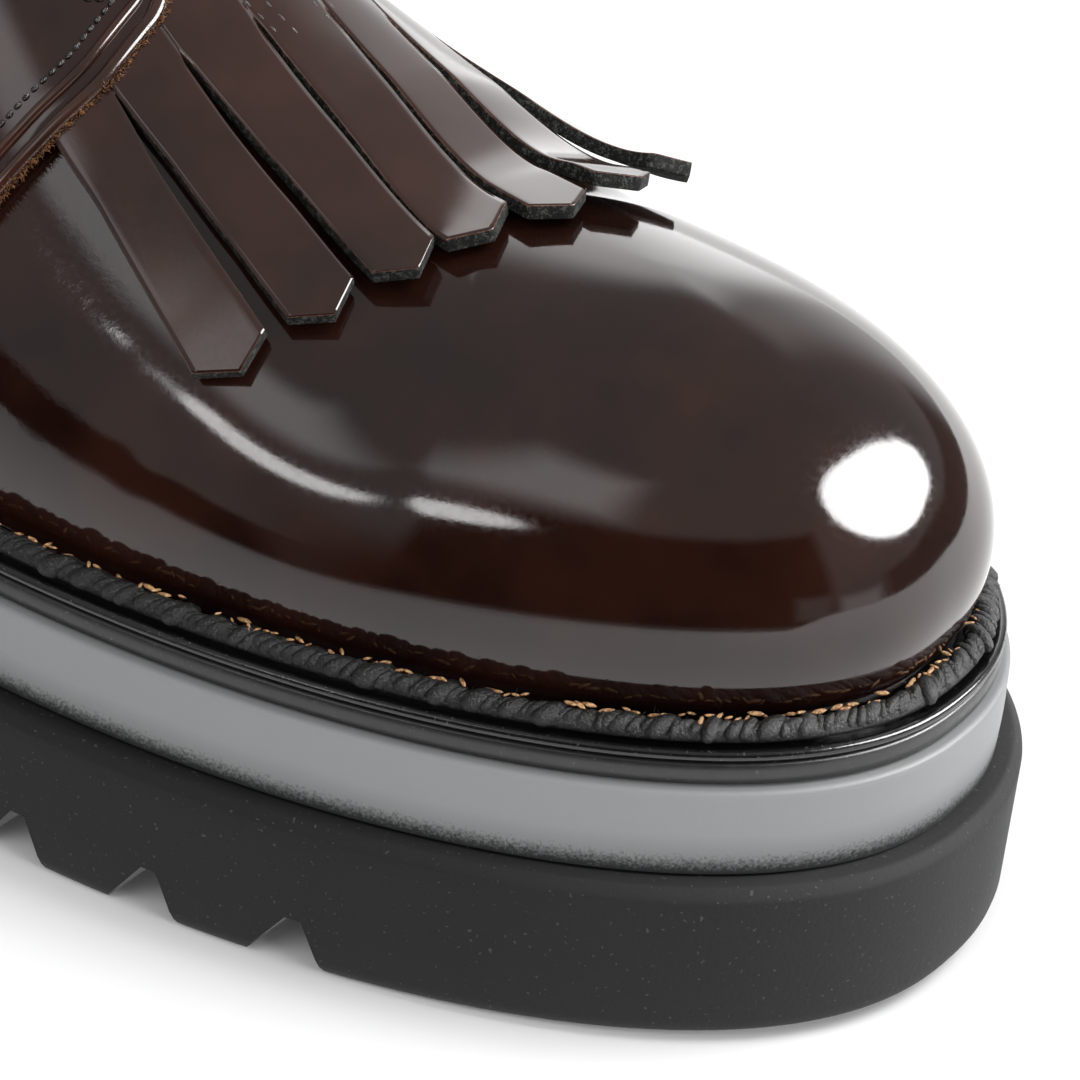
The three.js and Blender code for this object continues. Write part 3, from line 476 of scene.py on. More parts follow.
liningLeather = softLeather("lining_leather", (0.30, 0.17, 0.085), (0.42, 0.26, 0.145), 0.6)
insoleLeather = softLeather("insole_leather", (0.26, 0.145, 0.07), (0.36, 0.215, 0.115), 0.55)
tongueLeather = burnished("tongue_leather", leatherTones["dark"], leatherTones["warm"], soften=0.12)
print("finishes made")


# A part is a dictionary of points, faces, the finish index of each face and a number for each point
def part(points, faces, which=0, tone=0.0):
    points = np.asarray(points, float).reshape(-1, 3)
    which = np.full(len(faces), which) if np.isscalar(which) else np.asarray(which)
    tone = np.full(len(points), tone) if np.isscalar(tone) else np.asarray(tone, float).ravel()
    return {"points": points, "faces": [tuple(map(int, face)) for face in faces], "which": which, "tone": tone}


def merged(parts):
    faces, start = [], 0
    for piece in parts:
        faces += [tuple(i + start for i in face) for face in piece["faces"]]
        start += len(piece["points"])
    return {
        "points": np.concatenate([piece["points"] for piece in parts]), "faces": faces,
        "which": np.concatenate([piece["which"] for piece in parts]),
        "tone": np.concatenate([piece["tone"] for piece in parts]),
    }


# Faces turned so that they look out of the solid
def outward(piece):
    p = piece["points"]
    volume = 0.0
    for size in (3, 4):
        some = np.array([face for face in piece["faces"] if len(face) == size], int).reshape(-1, size)
        for k in range(1, size - 1):
            a, b, c = p[some[:, 0]], p[some[:, k]], p[some[:, k + 1]]
            volume += np.einsum("ij,ij->", a, np.cross(b, c))
    if volume < 0:
        piece["faces"] = [face[::-1] for face in piece["faces"]]
    return piece


def addPiece(name, pieces, finishes, stands=(), tone=None, sharp=None, weld=0.0):
    whole = merged(pieces) if isinstance(pieces, list) else pieces
    mesh = bpy.data.meshes.new(name)
    mesh.from_pydata(toFrame(whole["points"]).tolist(), [], whole["faces"])
    mesh.polygons.foreach_set("use_smooth", [True] * len(mesh.polygons))
    for finish in finishes:
        mesh.materials.append(finish.material)
    mesh.polygons.foreach_set("material_index", whole["which"].astype(int))
    if tone:
        mesh.attributes.new(tone, "FLOAT", "POINT").data.foreach_set("value", whole["tone"])
    if weld:
        shape = bmesh.new()
        shape.from_mesh(mesh)
        bmesh.ops.remove_doubles(shape, verts=shape.verts, dist=weld / 1000)
        shape.to_mesh(mesh)
        shape.free()
    if sharp:
        mesh.set_sharp_from_angle(angle=math.radians(sharp))
    mesh.update()
    piece = bpy.data.objects.new(name, mesh)
    bpy.context.scene.collection.objects.link(piece)
    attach(piece, "root")
    if stands:
        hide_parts(*stands)
    print(name, len(mesh.polygons), "faces")
    return piece


def gridFaces(high, wide, start=0, closed=False):
    rows, columns = np.meshgrid(np.arange(high - 1), np.arange(wide if closed else wide - 1), indexing="ij")
    a = start + rows * wide + columns
    b = start + rows * wide + (columns + 1) % wide
    return np.stack([a, b, b + wide, a + wide], -1).reshape(-1, 4)


def unit(v):
    return v / np.maximum(np.linalg.norm(v, axis=-1, keepdims=True), 1e-9)


# A closed sheet between two grids. Its rim bulges out a little, in rings, and has a finish of its own
def closedSheet(outer, inner, finishes=(0, 1, 1), bulge=0.15, rings=(0.10, 0.32, 0.68, 0.90), tone=0.0, line=None):
    high, wide = outer.shape[:2]
    loop = [(0, c) for c in range(wide - 1)] + [(r, wide - 1) for r in range(high - 1)]
    loop += [(high - 1, c) for c in range(wide - 1, 0, -1)] + [(r, 0) for r in range(high - 1, 0, -1)]
    r, c = np.array(loop).T
    inR, inC = np.clip(r, 1, high - 2), np.clip(c, 1, wide - 2)
    away = unit(outer[r, c] - outer[inR, inC])
    count, n = high * wide, len(loop)
    points = [outer.reshape(-1, 3), inner.reshape(-1, 3)]
    for share in rings:
        points.append(blend(outer[r, c], inner[r, c], share) + away * bulge * math.sin(math.pi * share) ** 0.6)
    outerFaces = gridFaces(high, wide)
    innerFaces = gridFaces(high, wide, count)[:, ::-1]
    chain = [r * wide + c] + [2 * count + k * n + np.arange(n) for k in range(len(rings))] + [count + r * wide + c]
    rim = [np.stack([a, b, np.roll(b, -1), np.roll(a, -1)], -1) for a, b in zip(chain, chain[1:])]
    which = [np.full(len(outerFaces), finishes[0]), np.full(len(innerFaces), finishes[2])]
    which += [np.full(n, finishes[1] if k or line is None else line) for k in range(len(rim))]
    faces = np.concatenate([outerFaces, innerFaces, *rim])
    tones = 0.0
    if not np.isscalar(tone):
        flat = np.asarray(tone, float).ravel()
        tones = np.concatenate([flat, flat] + [tone[r, c]] * len(rings))
    return outward(part(np.concatenate(points), faces, np.concatenate(which), tones))


def resampled(path, pitch=None, count=None):
    path = np.asarray(path, float)
    run = np.concatenate([[0], np.cumsum(np.linalg.norm(np.diff(path, axis=0), axis=1))])
    n = count or max(int(round(run[-1] / pitch)) + 1, 2)
    at = np.linspace(0, run[-1], n)
    return np.stack([np.interp(at, run, path[:, k]) for k in range(3)], -1)


# Directions along a path, across it and out of it, from a guide that points roughly outwards
def pathFrames(path, guide):
    along = unit(np.gradient(path, axis=0))
    guide = np.broadcast_to(guide, path.shape)
    across = unit(np.cross(guide, along))
    return along, across, np.cross(along, across)


def tube(path, radius, sides=10, which=0, guide=(0.3, 0.2, 1.0), closed=False, flat=1.0):
    path = np.asarray(path, float)
    if closed:
        along = unit(np.roll(path, -1, 0) - np.roll(path, 1, 0))
        across = unit(np.cross(np.broadcast_to(guide, path.shape), along))
        out = np.cross(along, across)
    else:
        along, across, out = pathFrames(path, guide)
    radius = np.broadcast_to(radius, len(path))
    turn = np.arange(sides) * 2 * math.pi / sides
    ring = across[:, None] * np.cos(turn)[:, None] + out[:, None] * np.sin(turn)[:, None] * flat
    if closed:
        points = (path[:, None] + ring * radius[:, None, None]).reshape(-1, 3)
        faces = gridFaces(len(path) + 1, sides, closed=True) % len(points)
        return outward(part(points, faces, which))
    caps = ((0.0, 1.0), (0.5, 0.86), (0.86, 0.5))
    rows = [path[0] - along[0] * radius[0] * reach + ring[0] * radius[0] * size for reach, size in caps[:0:-1]]
    rows += list(path[:, None] + ring * radius[:, None, None])
    rows += [path[-1] + along[-1] * radius[-1] * reach + ring[-1] * radius[-1] * size for reach, size in caps[1:]]
    points = np.concatenate(rows)
    faces = gridFaces(len(rows), sides, closed=True).tolist()
    tips = len(points)
    points = np.concatenate([points, [path[0] - along[0] * radius[0]], [path[-1] + along[-1] * radius[-1]]])
    last0 = (len(rows) - 1) * sides
    faces += [[tips, (k + 1) % sides, k] for k in range(sides)]
    faces += [[tips + 1, last0 + k, last0 + (k + 1) % sides] for k in range(sides)]
    return outward(part(points, faces, which))


# A small rounded bead to repeat: points on a unit ball
def ball(around=8, high=5):
    points, faces = [[0, 0, -1]], []
    for k in range(1, high):
        fall = math.pi * k / high
        for i in range(around):
            turn = 2 * math.pi * i / around
            points.append([math.sin(fall) * math.cos(turn), math.sin(fall) * math.sin(turn), -math.cos(fall)])
    points.append([0, 0, 1])
    top = len(points) - 1
    for i in range(around):
        j = (i + 1) % around
        faces.append([0, 1 + j, 1 + i])
        faces.append([top, top - around + i, top - around + j])
        for k in range(high - 2):
            a = 1 + k * around
            faces.append([a + i, a + j, a + around + j, a + around + i])
    return np.array(points, float), faces


# Copies of a template, each with its own place, three axes already scaled, and finish
def repeated(template, places, axes, which=0):
    points, faces = template
    made = places[:, None] + np.einsum("pk,nkj->npj", points, axes)
    every = [[i + n * len(points) for i in face] for n in range(len(places)) for face in faces]
    kinds = which if np.isscalar(which) else np.repeat(which, len(faces))
    return part(made, every, kinds)


def scaledAxes(along, across, out, sizes):
    return np.stack([along * sizes[0], across * sizes[1], out * sizes[2]], 1)


# Stitches lie along a path, each a bead sunk a little into the leather
def stitches(path, guide, pitch, length=0.72, thick=0.34, which=0):
    path = resampled(path, pitch)
    along, across, out = pathFrames(path, guide(path) if callable(guide) else guide)
    axes = scaledAxes(along, across, out, (pitch * length / 2, thick, thick * 0.8))
    return repeated(ball(8, 5), path, axes, which)


# Loose fibres: thin bent spikes from a row of places, leaning along a direction
def fibres(places, leans, length, thick, chance, spread=0.6, which=0):
    kept = chance.random(len(places)) < 1
    places, leans = places[kept], leans[kept]
    n = len(places)
    lean = unit(leans + chance.normal(0, spread, (n, 3)))
    side = unit(np.cross(lean, chance.normal(0, 1, (n, 3))))
    over = np.cross(lean, side)
    reach = length * chance.uniform(0.5, 1.3, n)
    bend = chance.normal(0, 0.35, (n, 2))
    steps = np.array([0, 0.35, 0.7, 1.0])
    radii = thick * np.array([1.0, 0.85, 0.6, 0.15])
    centre = places[:, None] + (lean[:, None] * steps[:, None] + side[:, None] * (steps ** 2)[:, None] * bend[:, :1, None]
                                + over[:, None] * (steps ** 2)[:, None] * bend[:, 1:, None]) * reach[:, None, None]
    turn = np.arange(3) * 2 * math.pi / 3
    ring = side[:, None, None] * np.cos(turn)[:, None] + over[:, None, None] * np.sin(turn)[:, None]
    points = centre[:, :, None] + ring * radii[None, :, None, None]
    single = [[2, 1, 0], [9, 10, 11]]
    for k in range(3):
        single += [[k * 3 + i, k * 3 + (i + 1) % 3, k * 3 + 3 + (i + 1) % 3, k * 3 + 3 + i] for i in range(3)]
    faces = [[i + 12 * m for i in face] for m in range(n) for face in single]
    return part(points, faces, which)


# The forepart's surface over places in plan: their station and up, found from the nearest sample
sampleStations = np.linspace(10, shoe["halfCount"] - 0.02, 150)
sampleUps = np.linspace(0.12, 1, 90)
samples = {}
for side in (-1, 1):
    onSide = sampleStations if side < 0 else 2 * shoe["halfCount"] - sampleStations
    grid = upperPoint(onSide[:, None], sampleUps[None, :])
    tree = KDTree(grid.shape[0] * grid.shape[1])
    for index, place in enumerate(grid.reshape(-1, 3)):
        tree.insert((place[0], place[1], 0), index)
    tree.balance()
    samples[side] = tree


def findOver(x, y):
    x, y = np.broadcast_arrays(np.asarray(x, float), np.asarray(y, float))
    shape, x, y = x.shape, x.ravel(), y.ravel()
    side = np.where(y < crownY(x), -1, 1)
    nearest = np.array([samples[s].find((a, b, 0))[1] for a, b, s in zip(x, y, side)])
    k = sampleStations[nearest // len(sampleUps)]
    up = sampleUps[nearest % len(sampleUps)]
    small = 1e-3
    for step in range(7):
        station = np.where(side < 0, k, 2 * shoe["halfCount"] - k)
        here = upperPoint(station, up)
        byK = (upperPoint(station - side * small, up) - here)[:, :2] / small
        low = np.minimum(up, 1 - small)
        byUp = (upperPoint(station, low + small) - upperPoint(station, low))[:, :2] / small
        missX, missY = x - here[:, 0], y - here[:, 1]
        area = byK[:, 0] * byUp[:, 1] - byK[:, 1] * byUp[:, 0]
        area = np.where(np.abs(area) < 1e-6, 1e-6, area)
        k = np.clip(k + np.clip((missX * byUp[:, 1] - missY * byUp[:, 0]) / area, -1, 1), 6, shoe["halfCount"])
        up = np.clip(up + np.clip((byK[:, 0] * missY - byK[:, 1] * missX) / area, -0.1, 0.1), 0.02, 1)
    station = np.where(side < 0, k, 2 * shoe["halfCount"] - k)
    return station.reshape(shape), up.reshape(shape)


def overForepart(x, y, out=0.0):
    station, up = findOver(x, y)
    return upperPoint(station, up) + upperNormal(station, up) * np.asarray(out, float)[..., None]


# Over or under the instep, carried on back past the collar
def overInstep(x, across, out):
    x, across, out = np.broadcast_arrays(np.asarray(x, float), np.asarray(across, float), np.asarray(out, float))
    onX = np.maximum(x, last["ridgeStartX"] + 2)
    station, up = findOver(onX, crownY(onX) + across)
    point, normal = upperPoint(station, up), upperNormal(station, up)
    y = crownY(x) + across
    return np.stack([x, y + normal[..., 1] * out, point[..., 2] + (onX - x) * 0.32 + normal[..., 2] * out], -1)


def throatHalf(x):
    roundFrom = last["throatX"] - last["facingGap"]
    past = np.clip((x - roundFrom) / last["facingGap"], 0, 1)
    half = last["facingGap"] * np.sqrt(1 - past ** 2)
    return np.where((x < collarWideX) | (x > last["throatX"]), 0, half)


# How far up a station's profile the leather goes: to the collar, the facing's edge or the crown
def throatUp(station):
    station = np.asarray(station, float)
    low, high = np.full(station.shape, 0.5), np.ones(station.shape)

    def clear(up):
        p = upperPoint(station, up)
        return np.abs(p[..., 1] - crownY(p[..., 0])) - throatHalf(p[..., 0])
    open_ = clear(high) < 0
    for step in range(26):
        mid = (low + high) / 2
        good = clear(mid) >= 0
        low, high = np.where(good, mid, low), np.where(good, high, mid)
    return np.where(open_, low, 1.0)


upperSizes = {
    "rows": 68, "rearStep": 0.30, "foreStep": 0.080, "foreFrom": 21.0, "foreTo": 59.0,
    "creaseDepth": 0.09, "creaseWidth": 2.0, "pebbleReach": 15.0,
}
# Creases, listed in plan: where the vamp flexes on both sides and beside the first strip
creases = [
    [(196.0, -47.2), (200.5, -42.0), (207.0, -37.4)],
    [(206.0, -47.8), (211.0, -43.0), (219.0, -39.6)],
    [(198.0, 47.0), (203.0, 41.0), (210.0, 35.5)],
    [(209.0, 48.0), (214.0, 42.5), (222.0, 37.5)],
    [(188.0, 44.5), (193.0, 38.0), (199.0, 32.5)],
]
pebbledAt = [(195.0, -36.5), (196.0, -43.0), (197.0, 39.0)]


def creaseDepth(points):
    depth = np.zeros(points.shape[:-1])
    width = upperSizes["creaseWidth"]
    for crease in creases:
        line = resampled(overForepart(*np.array(crease).T), count=24)
        near = np.abs(points[..., 0] - line[:, 0].mean()) < 25
        near &= np.sign(points[..., 1]) == np.sign(line[0, 1])
        some = points[near]
        apart = np.linalg.norm(some[:, None] - line, axis=-1)
        d, k = apart.min(1), apart.argmin(1) / (len(line) - 1)
        fade = np.sin(np.pi * np.clip(k, 0.02, 0.98)) ** 0.7
        shape = -np.exp(-(d / width) ** 2) + 0.35 * np.exp(-((d - 2.1 * width) / width) ** 2)
        depth[near] += upperSizes["creaseDepth"] * fade * shape
    return depth


def makeUpper():
    sizes = upperSizes
    rear = np.arange(0, sizes["foreFrom"], sizes["rearStep"])
    fore = np.arange(sizes["foreFrom"], sizes["foreTo"], sizes["foreStep"])
    back = np.arange(sizes["foreTo"], 2 * shoe["halfCount"] - 0.01, sizes["rearStep"])
    stations = np.concatenate([rear, fore, back])
    top = throatUp(stations)
    shares = np.linspace(0, 1, sizes["rows"])
    ups = shares[:, None] * top[None, :]
    station = np.broadcast_to(stations, ups.shape)
    outer = upperPoint(station, ups)
    normal = upperNormal(station, ups)
    inner = outer - normal * last["wall"]
    outer = outer + normal * creaseDepth(outer)[..., None]
    flex = np.zeros(ups.shape)
    for place in pebbledAt:
        spot = overForepart(*np.array(place))
        flex = np.maximum(flex, 1 - np.linalg.norm(outer - spot, axis=-1) / sizes["pebbleReach"])
    flex = np.clip(flex * 1.6, 0, 1)
    high, wide = ups.shape
    count = high * wide
    faces = [gridFaces(high, wide, closed=True), gridFaces(high, wide, count, closed=True)[:, ::-1]]
    kinds = [np.zeros(len(faces[0])), np.ones(len(faces[1]))]
    points = [outer.reshape(-1, 3), inner.reshape(-1, 3)]
    rimShares = (0.12, 0.5, 0.88)
    everyUp = {0: range(wide), high - 1: [c for c in range(wide)]}
    for row, step in ((0, 1), (high - 1, -1)):
        away = unit(outer[row] - outer[row + step])
        start = sum(len(p) for p in points)
        for share in rimShares:
            points.append(blend(outer[row], inner[row], share) + away * 0.25 * math.sin(math.pi * share))
        chain = [row * wide + np.arange(wide)] + [start + k * wide + np.arange(wide) for k in range(3)]
        chain += [count + row * wide + np.arange(wide)]
        keep = np.ones(wide, bool)
        if row:
            closedTop = crownX(folded(stations)[1]) > last["throatX"] - 0.5
            keep = ~(closedTop & np.roll(closedTop, -1))
        for a, b in zip(chain, chain[1:]):
            ring = np.stack([a, b, np.roll(b, -1), np.roll(a, -1)], -1)
            faces.append((ring if row else ring[:, ::-1])[keep])
            kinds.append(np.ones(int(keep.sum())))
    tones = np.concatenate([flex.ravel(), flex.ravel(), np.zeros(6 * wide)])
    shell = part(np.concatenate(points), np.concatenate(faces), np.concatenate(kinds), tones)
    return addPiece("upper_leather", shell, [upperLeather, liningLeather], ["upper"], "flex", weld=0.002)


quarterSizes = {
    "rows": 46, "columns": 150, "gap": 0.3, "thick": 1.7, "backSeam": 0.06,
    "rollRadius": 1.05, "secondRoll": 0.72, "secondBack": 2.5, "rawReach": 1.5,
}


# The station where a quarter's row meets its front edge, or a line that runs back from it
def frontStation(side, share, back=0.0):
    share = np.asarray(share, float)
    low, high = np.full(share.shape, 8.0), np.full(share.shape, 34.0)
    for step in range(34):
        mid = (low + high) / 2
        station = np.where(side < 0, mid, 2 * shoe["halfCount"] - mid)
        p = upperPoint(station, blend(0.004, throatUp(station), share))
        x, y = p[..., 0], p[..., 1]
        across = (y - crownY(x)) / (sideEdge(x, side + 0 * x) - crownY(x))
        ahead = x > shoe["length"] * readTable(quarterFront, across) - back
        high, low = np.where(ahead, mid, high), np.where(ahead, low, mid)
    return (low + high) / 2


def onQuarter(side, k, share, out):
    station = np.where(side < 0, k, 2 * shoe["halfCount"] - k)
    return upperAt(station, blend(0.004, throatUp(station), share), out)


def quarterLine(side, back, fromShare, toShare, out, count=160):
    share = np.linspace(fromShare, toShare, count)
    return onQuarter(side, frontStation(side, share, back), share, out)


def edgeLineAlong(side, fromK, toK, down, out, count=240):
    k = np.linspace(fromK, toK, count)
    station = np.where(side < 0, k, 2 * shoe["halfCount"] - k)
    top = throatUp(station)
    p, q = upperPoint(station, top), upperPoint(station, top - 0.05)
    drop = 0.05 * down / np.maximum(np.linalg.norm(p - q, axis=-1), 0.2)
    return upperAt(station, top - drop, out)


def makeQuarter(side, word):
    sizes = quarterSizes
    share = np.linspace(0, 1, sizes["rows"])
    front = frontStation(side, share)
    t = np.linspace(0, 1, sizes["columns"])
    k = sizes["backSeam"] + (front - sizes["backSeam"])[:, None] * t[None, :]
    shares = np.broadcast_to(share[:, None], k.shape)
    outer = onQuarter(side, k, shares, sizes["gap"] + sizes["thick"])
    inner = onQuarter(side, k, shares, sizes["gap"])
    pieces = [closedSheet(outer, inner, (0, 1, 2), 0.2)]
    high = sizes["gap"] + sizes["thick"]
    first = quarterLine(side, -0.2, 0.0, 0.995, high - 0.15)
    second = quarterLine(side, sizes["secondBack"], 0.0, 0.97, high - 0.05)
    pieces.append(tube(first, sizes["rollRadius"], 12, 3))
    pieces.append(tube(second, sizes["secondRoll"], 12, 3))
    addPiece(f"quarter_{word}_leather", pieces, [quarterLeather, rollLeather, liningLeather, rollLeather],
             [f"quarter_{word}"])
    chance = np.random.default_rng(11 + side)
    rows = []
    for back, out, length, thick, each in ((-0.90, high - 0.02, 0.85, 0.085, 1700), (-0.75, high - 0.55, 0.8, 0.09, 1200)):
        edge = resampled(quarterLine(side, back, 0.0, 0.99, out), count=each)
        along, across, outwards = pathFrames(edge, upperGuide(edge))
        ahead = across * np.sign(np.einsum("ij,j->i", across, np.array([1.0, 0, 0])))[:, None]
        edge = edge + along * chance.normal(0, 0.25, (each, 1)) + ahead * chance.uniform(-0.2, 0.25, (each, 1))
        rows.append(fibres(edge, ahead + outwards * 0.35, length, thick, chance, 0.5))
    addPiece(f"raw_fringe_{word}", rows, [rawEdge])
    seams = [stitches(quarterLine(side, 4.6, 0.03, 0.93, high + 0.12), upperGuide, 1.45, 0.86, 0.33)]
    seams.append(stitches(edgeLineAlong(side, 1.0, 24.5, 3.0, high + 0.05), upperGuide, 2.3, 0.74, 0.27))
    seams.append(stitches(edgeLineAlong(side, 12.0, 24.3, 5.2, high + 0.05), upperGuide, 2.3, 0.74, 0.27))
    branch = branchLine(side, high + 0.12)
    seams.append(stitches(branch, upperGuide, 1.45, 0.86, 0.33))
    addPiece(f"stitches_{word}", seams, [stitchThread])


# A second row of stitches runs up from the front edge towards the facing
def branchLine(side, out):
    t = np.linspace(0, 1, 60)
    share = blend(0.80, 0.90, t)
    k = frontStation(side, share, 5.0) - 3.2 * t
    return onQuarter(side, k, share, out)


def upperGuide(path):
    middle = np.stack([path[:, 0], crownY(path[:, 0]), 0 * path[:, 0] + 45.0], -1)
    return unit(path - middle)


def makeCollarRoll():
    k = np.linspace(0.0, 21.4, 220)
    sizes = quarterSizes
    pieces = []
    for side in (-1, 1):
        station = np.where(side < 0, k, 2 * shoe["halfCount"] - k)
        edge = upperAt(station, np.ones(len(k)), 0.1)
        pieces.append(edge)
    path = np.concatenate([pieces[0][::-1], pieces[1][1:]])
    roll = tube(resampled(path, 1.0), 2.05, 14, 0, upperGuide(resampled(path, 1.0)))
    addPiece("collar_binding", roll, [rollLeather])


def makeBackStrip():
    gap = quarterSizes["gap"] * 2 + quarterSizes["thick"]
    across = np.linspace(-1, 1, 13) * 1.05
    up = np.linspace(0.06, 0.985, 60)
    station = np.mod(across, 2 * shoe["halfCount"])[None, :] + 0 * up[:, None]
    ups = np.broadcast_to(up[:, None], station.shape)
    strip = closedSheet(upperAt(station, ups, gap + 1.3), upperAt(station, ups, gap), (0, 1, 1), 0.15)
    rows = []
    for place in (-0.8, 0.8):
        line = upperAt(np.full(80, place % (2 * shoe["halfCount"])), np.linspace(0.09, 0.96, 80), gap + 1.35)
        rows.append(stitches(line, upperGuide, 2.3, 0.74, 0.27, 2))
    addPiece("back_strip_leather", [strip, *rows], [quarterLeather, rollLeather, stitchThread], ["back_strip"])


def makeTongue():
    x = np.linspace(96, last["throatX"] + 9, 70)
    across = np.linspace(-1, 1, 25)
    half = np.interp(x, [96, 99, 104, 190], [14, 18, 20, 17])
    grid = [np.broadcast_to(x[:, None], (70, 25)), half[:, None] * across[None, :]]
    high = -last["wall"] - 0.4
    sheet = closedSheet(overInstep(*grid, high), overInstep(*grid, high - 2.6), (0, 1, 2), 0.5)
    line = overInstep(np.full(50, 99.5), np.linspace(-14, 14, 50), high + 0.05)
    seam = stitches(line, (0, 0, 1.0), 2.3, 0.74, 0.27, 3)
    addPiece("tongue_leather", [sheet, seam], [tongueLeather, rollLeather, liningLeather, stitchThread],
             ["tongue"])


kiltieSizes = {
    "thick": 1.8, "length": 42.0, "halfSpan": 33.0, "angle": -12.4, "centre": (195.0, 2.5), "width": 10.0,
    "point": 2.9, "lift": 5.0, "over": 0.4, "tabHalf": 8.0, "tabBack": 122.0, "along": 84, "across": 15,
}
# The strips from the outer side: root along and across, tip along and across, lift, widths at root and tip
kiltieRows = [
    (-0.05, -0.875, 0.713, -0.921, 0.14, 0.74, 0.98),
    (0.00, -0.633, 0.785, -0.607, 0.16, 0.81, 0.93),
    (0.00, -0.341, 0.844, -0.296, 0.24, 1.00, 0.90),
    (0.00, -0.020, 0.897, -0.008, 0.14, 0.99, 0.96),
    (0.00, 0.280, 0.950, 0.294, 0.14, 0.94, 0.94),
    (-0.02, 0.565, 0.930, 0.620, 0.44, 0.92, 0.98),
    (-0.06, 0.840, 0.800, 1.000, 0.85, 0.88, 0.98),
]


def kiltiePlan(along, across):
    a = math.radians(kiltieSizes["angle"])
    x, y = kiltieSizes["centre"]
    return np.stack([x + along * math.cos(a) - across * math.sin(a), y + along * math.sin(a) + across * math.cos(a)], -1)


def smooth(t):
    t = np.clip(t, 0, 1)
    return t * t * (3 - 2 * t)


# A strip's centre line in plan, and its two edges. Behind the slits an edge is shared with the next strip
def stripLines():
    lines = []
    for row in kiltieRows:
        root = kiltiePlan(row[0] * kiltieSizes["length"], row[1] * kiltieSizes["halfSpan"])
        tip = kiltiePlan(row[2] * kiltieSizes["length"], row[3] * kiltieSizes["halfSpan"])
        run = unit(tip - root)
        lines.append((root, tip, np.array([-run[1], run[0]]), row))
    return lines


def stripEdge(lines, index, end, t):
    root, tip, across, row = lines[index]
    half = kiltieSizes["width"] * blend(row[5], row[6], np.maximum(t, 0)) / 2
    return root + (tip - root) * t[:, None] + end * across * half[:, None]


def makeStrip(lines, index):
    sizes = kiltieSizes
    root, tip, across, row = lines[index]
    s = np.linspace(-1, 1, sizes["across"])
    # where each line of the strip comes out from under the quarter's edge
    low, high = np.full(len(s), -1.3), np.full(len(s), 0.6)
    for step in range(30):
        t = (low + high) / 2
        half = sizes["width"] * row[5] / 2
        p = root + (tip - root) * t[:, None] + across * (half * s)[:, None]
        side = np.where(p[:, 1] < crownY(p[:, 0]), -1, 1)
        share = (p[:, 1] - crownY(p[:, 0])) / (sideEdge(p[:, 0], side) - crownY(p[:, 0]))
        ahead = p[:, 0] > shoe["length"] * readTable(quarterFront, share) - 1.2
        high, low = np.where(ahead, t, high), np.where(ahead, low, t)
    start = (low + high) / 2
    steps = np.linspace(0, 1, sizes["along"])
    t = start[None, :] + (1 - start[None, :]) * steps[:, None]
    flatT = t.ravel()
    edges = []
    for end in (-1, 1):
        own = stripEdge(lines, index, end, flatT)
        other = index + end
        if 0 <= other < len(lines):
            shared = (own + stripEdge(lines, other, -end, flatT)) / 2
            apart = smooth((flatT + 0.01) / 0.06)[:, None]
            own = blend(shared, own, apart)
        edges.append(own)
    w = (np.broadcast_to(s, t.shape).ravel()[:, None] + 1) / 2
    plan = blend(edges[0], edges[1], w)
    raise_ = sizes["lift"] * row[4] * np.maximum(t, 0) ** 2
    station, up = findOver(plan[:, 0], plan[:, 1])
    on, normal = upperPoint(station, up), upperNormal(station, up)
    following = (on + normal * (sizes["over"] + raise_.ravel())[:, None]).reshape(*t.shape, 3)
    followUp = normal.reshape(*t.shape, 3)
    # flat across: the centre line and its own frame
    line = np.linspace(min(start.min(), -0.2), 1, 90)
    centre2 = root + (tip - root) * line[:, None]
    station, up = findOver(centre2[:, 0], centre2[:, 1])
    normal1 = upperNormal(station, up)
    centre = upperPoint(station, up) + normal1 * (sizes["over"] + sizes["lift"] * row[4] * np.maximum(line, 0) ** 2)[:, None]
    run1 = unit(np.gradient(centre, axis=0))
    over1 = unit(np.cross(normal1, run1))
    face1 = np.cross(run1, over1)

    def along(values, at):
        return np.stack([np.interp(at.ravel(), line, values[:, k]) for k in range(3)], -1).reshape(*at.shape, 3)
    half = sizes["width"] * blend(row[5], row[6], np.maximum(t, 0)) / 2
    flat = along(centre, t) + along(over1, t) * (half * s[None, :])[..., None]
    flatness = smooth(t / 0.35)[..., None]
    base = blend(following, flat, flatness)
    faceUp = unit(blend(followUp, along(face1, t), flatness))
    # the tip is cut to a shallow point
    pointed = sizes["point"] * (1 - np.abs(s)[None, :]) * smooth((t - 0.80) / 0.20)
    base = base + along(run1, t) * pointed[..., None]
    edge = np.clip((np.abs(s) - 0.93) / 0.07, 0, 1)[None, :, None] * smooth((t[..., None] + 0.01) / 0.06)
    under = np.clip(1 - (t - start[None, :]) / 0.08, 0, 1)[..., None] * 0.5
    top = base + faceUp * (sizes["thick"] - under - 0.05 * edge ** 2)
    return closedSheet(top, base, (0, 1, 3), 0.05, (0.06, 0.30, 0.70, 0.92), line=2)


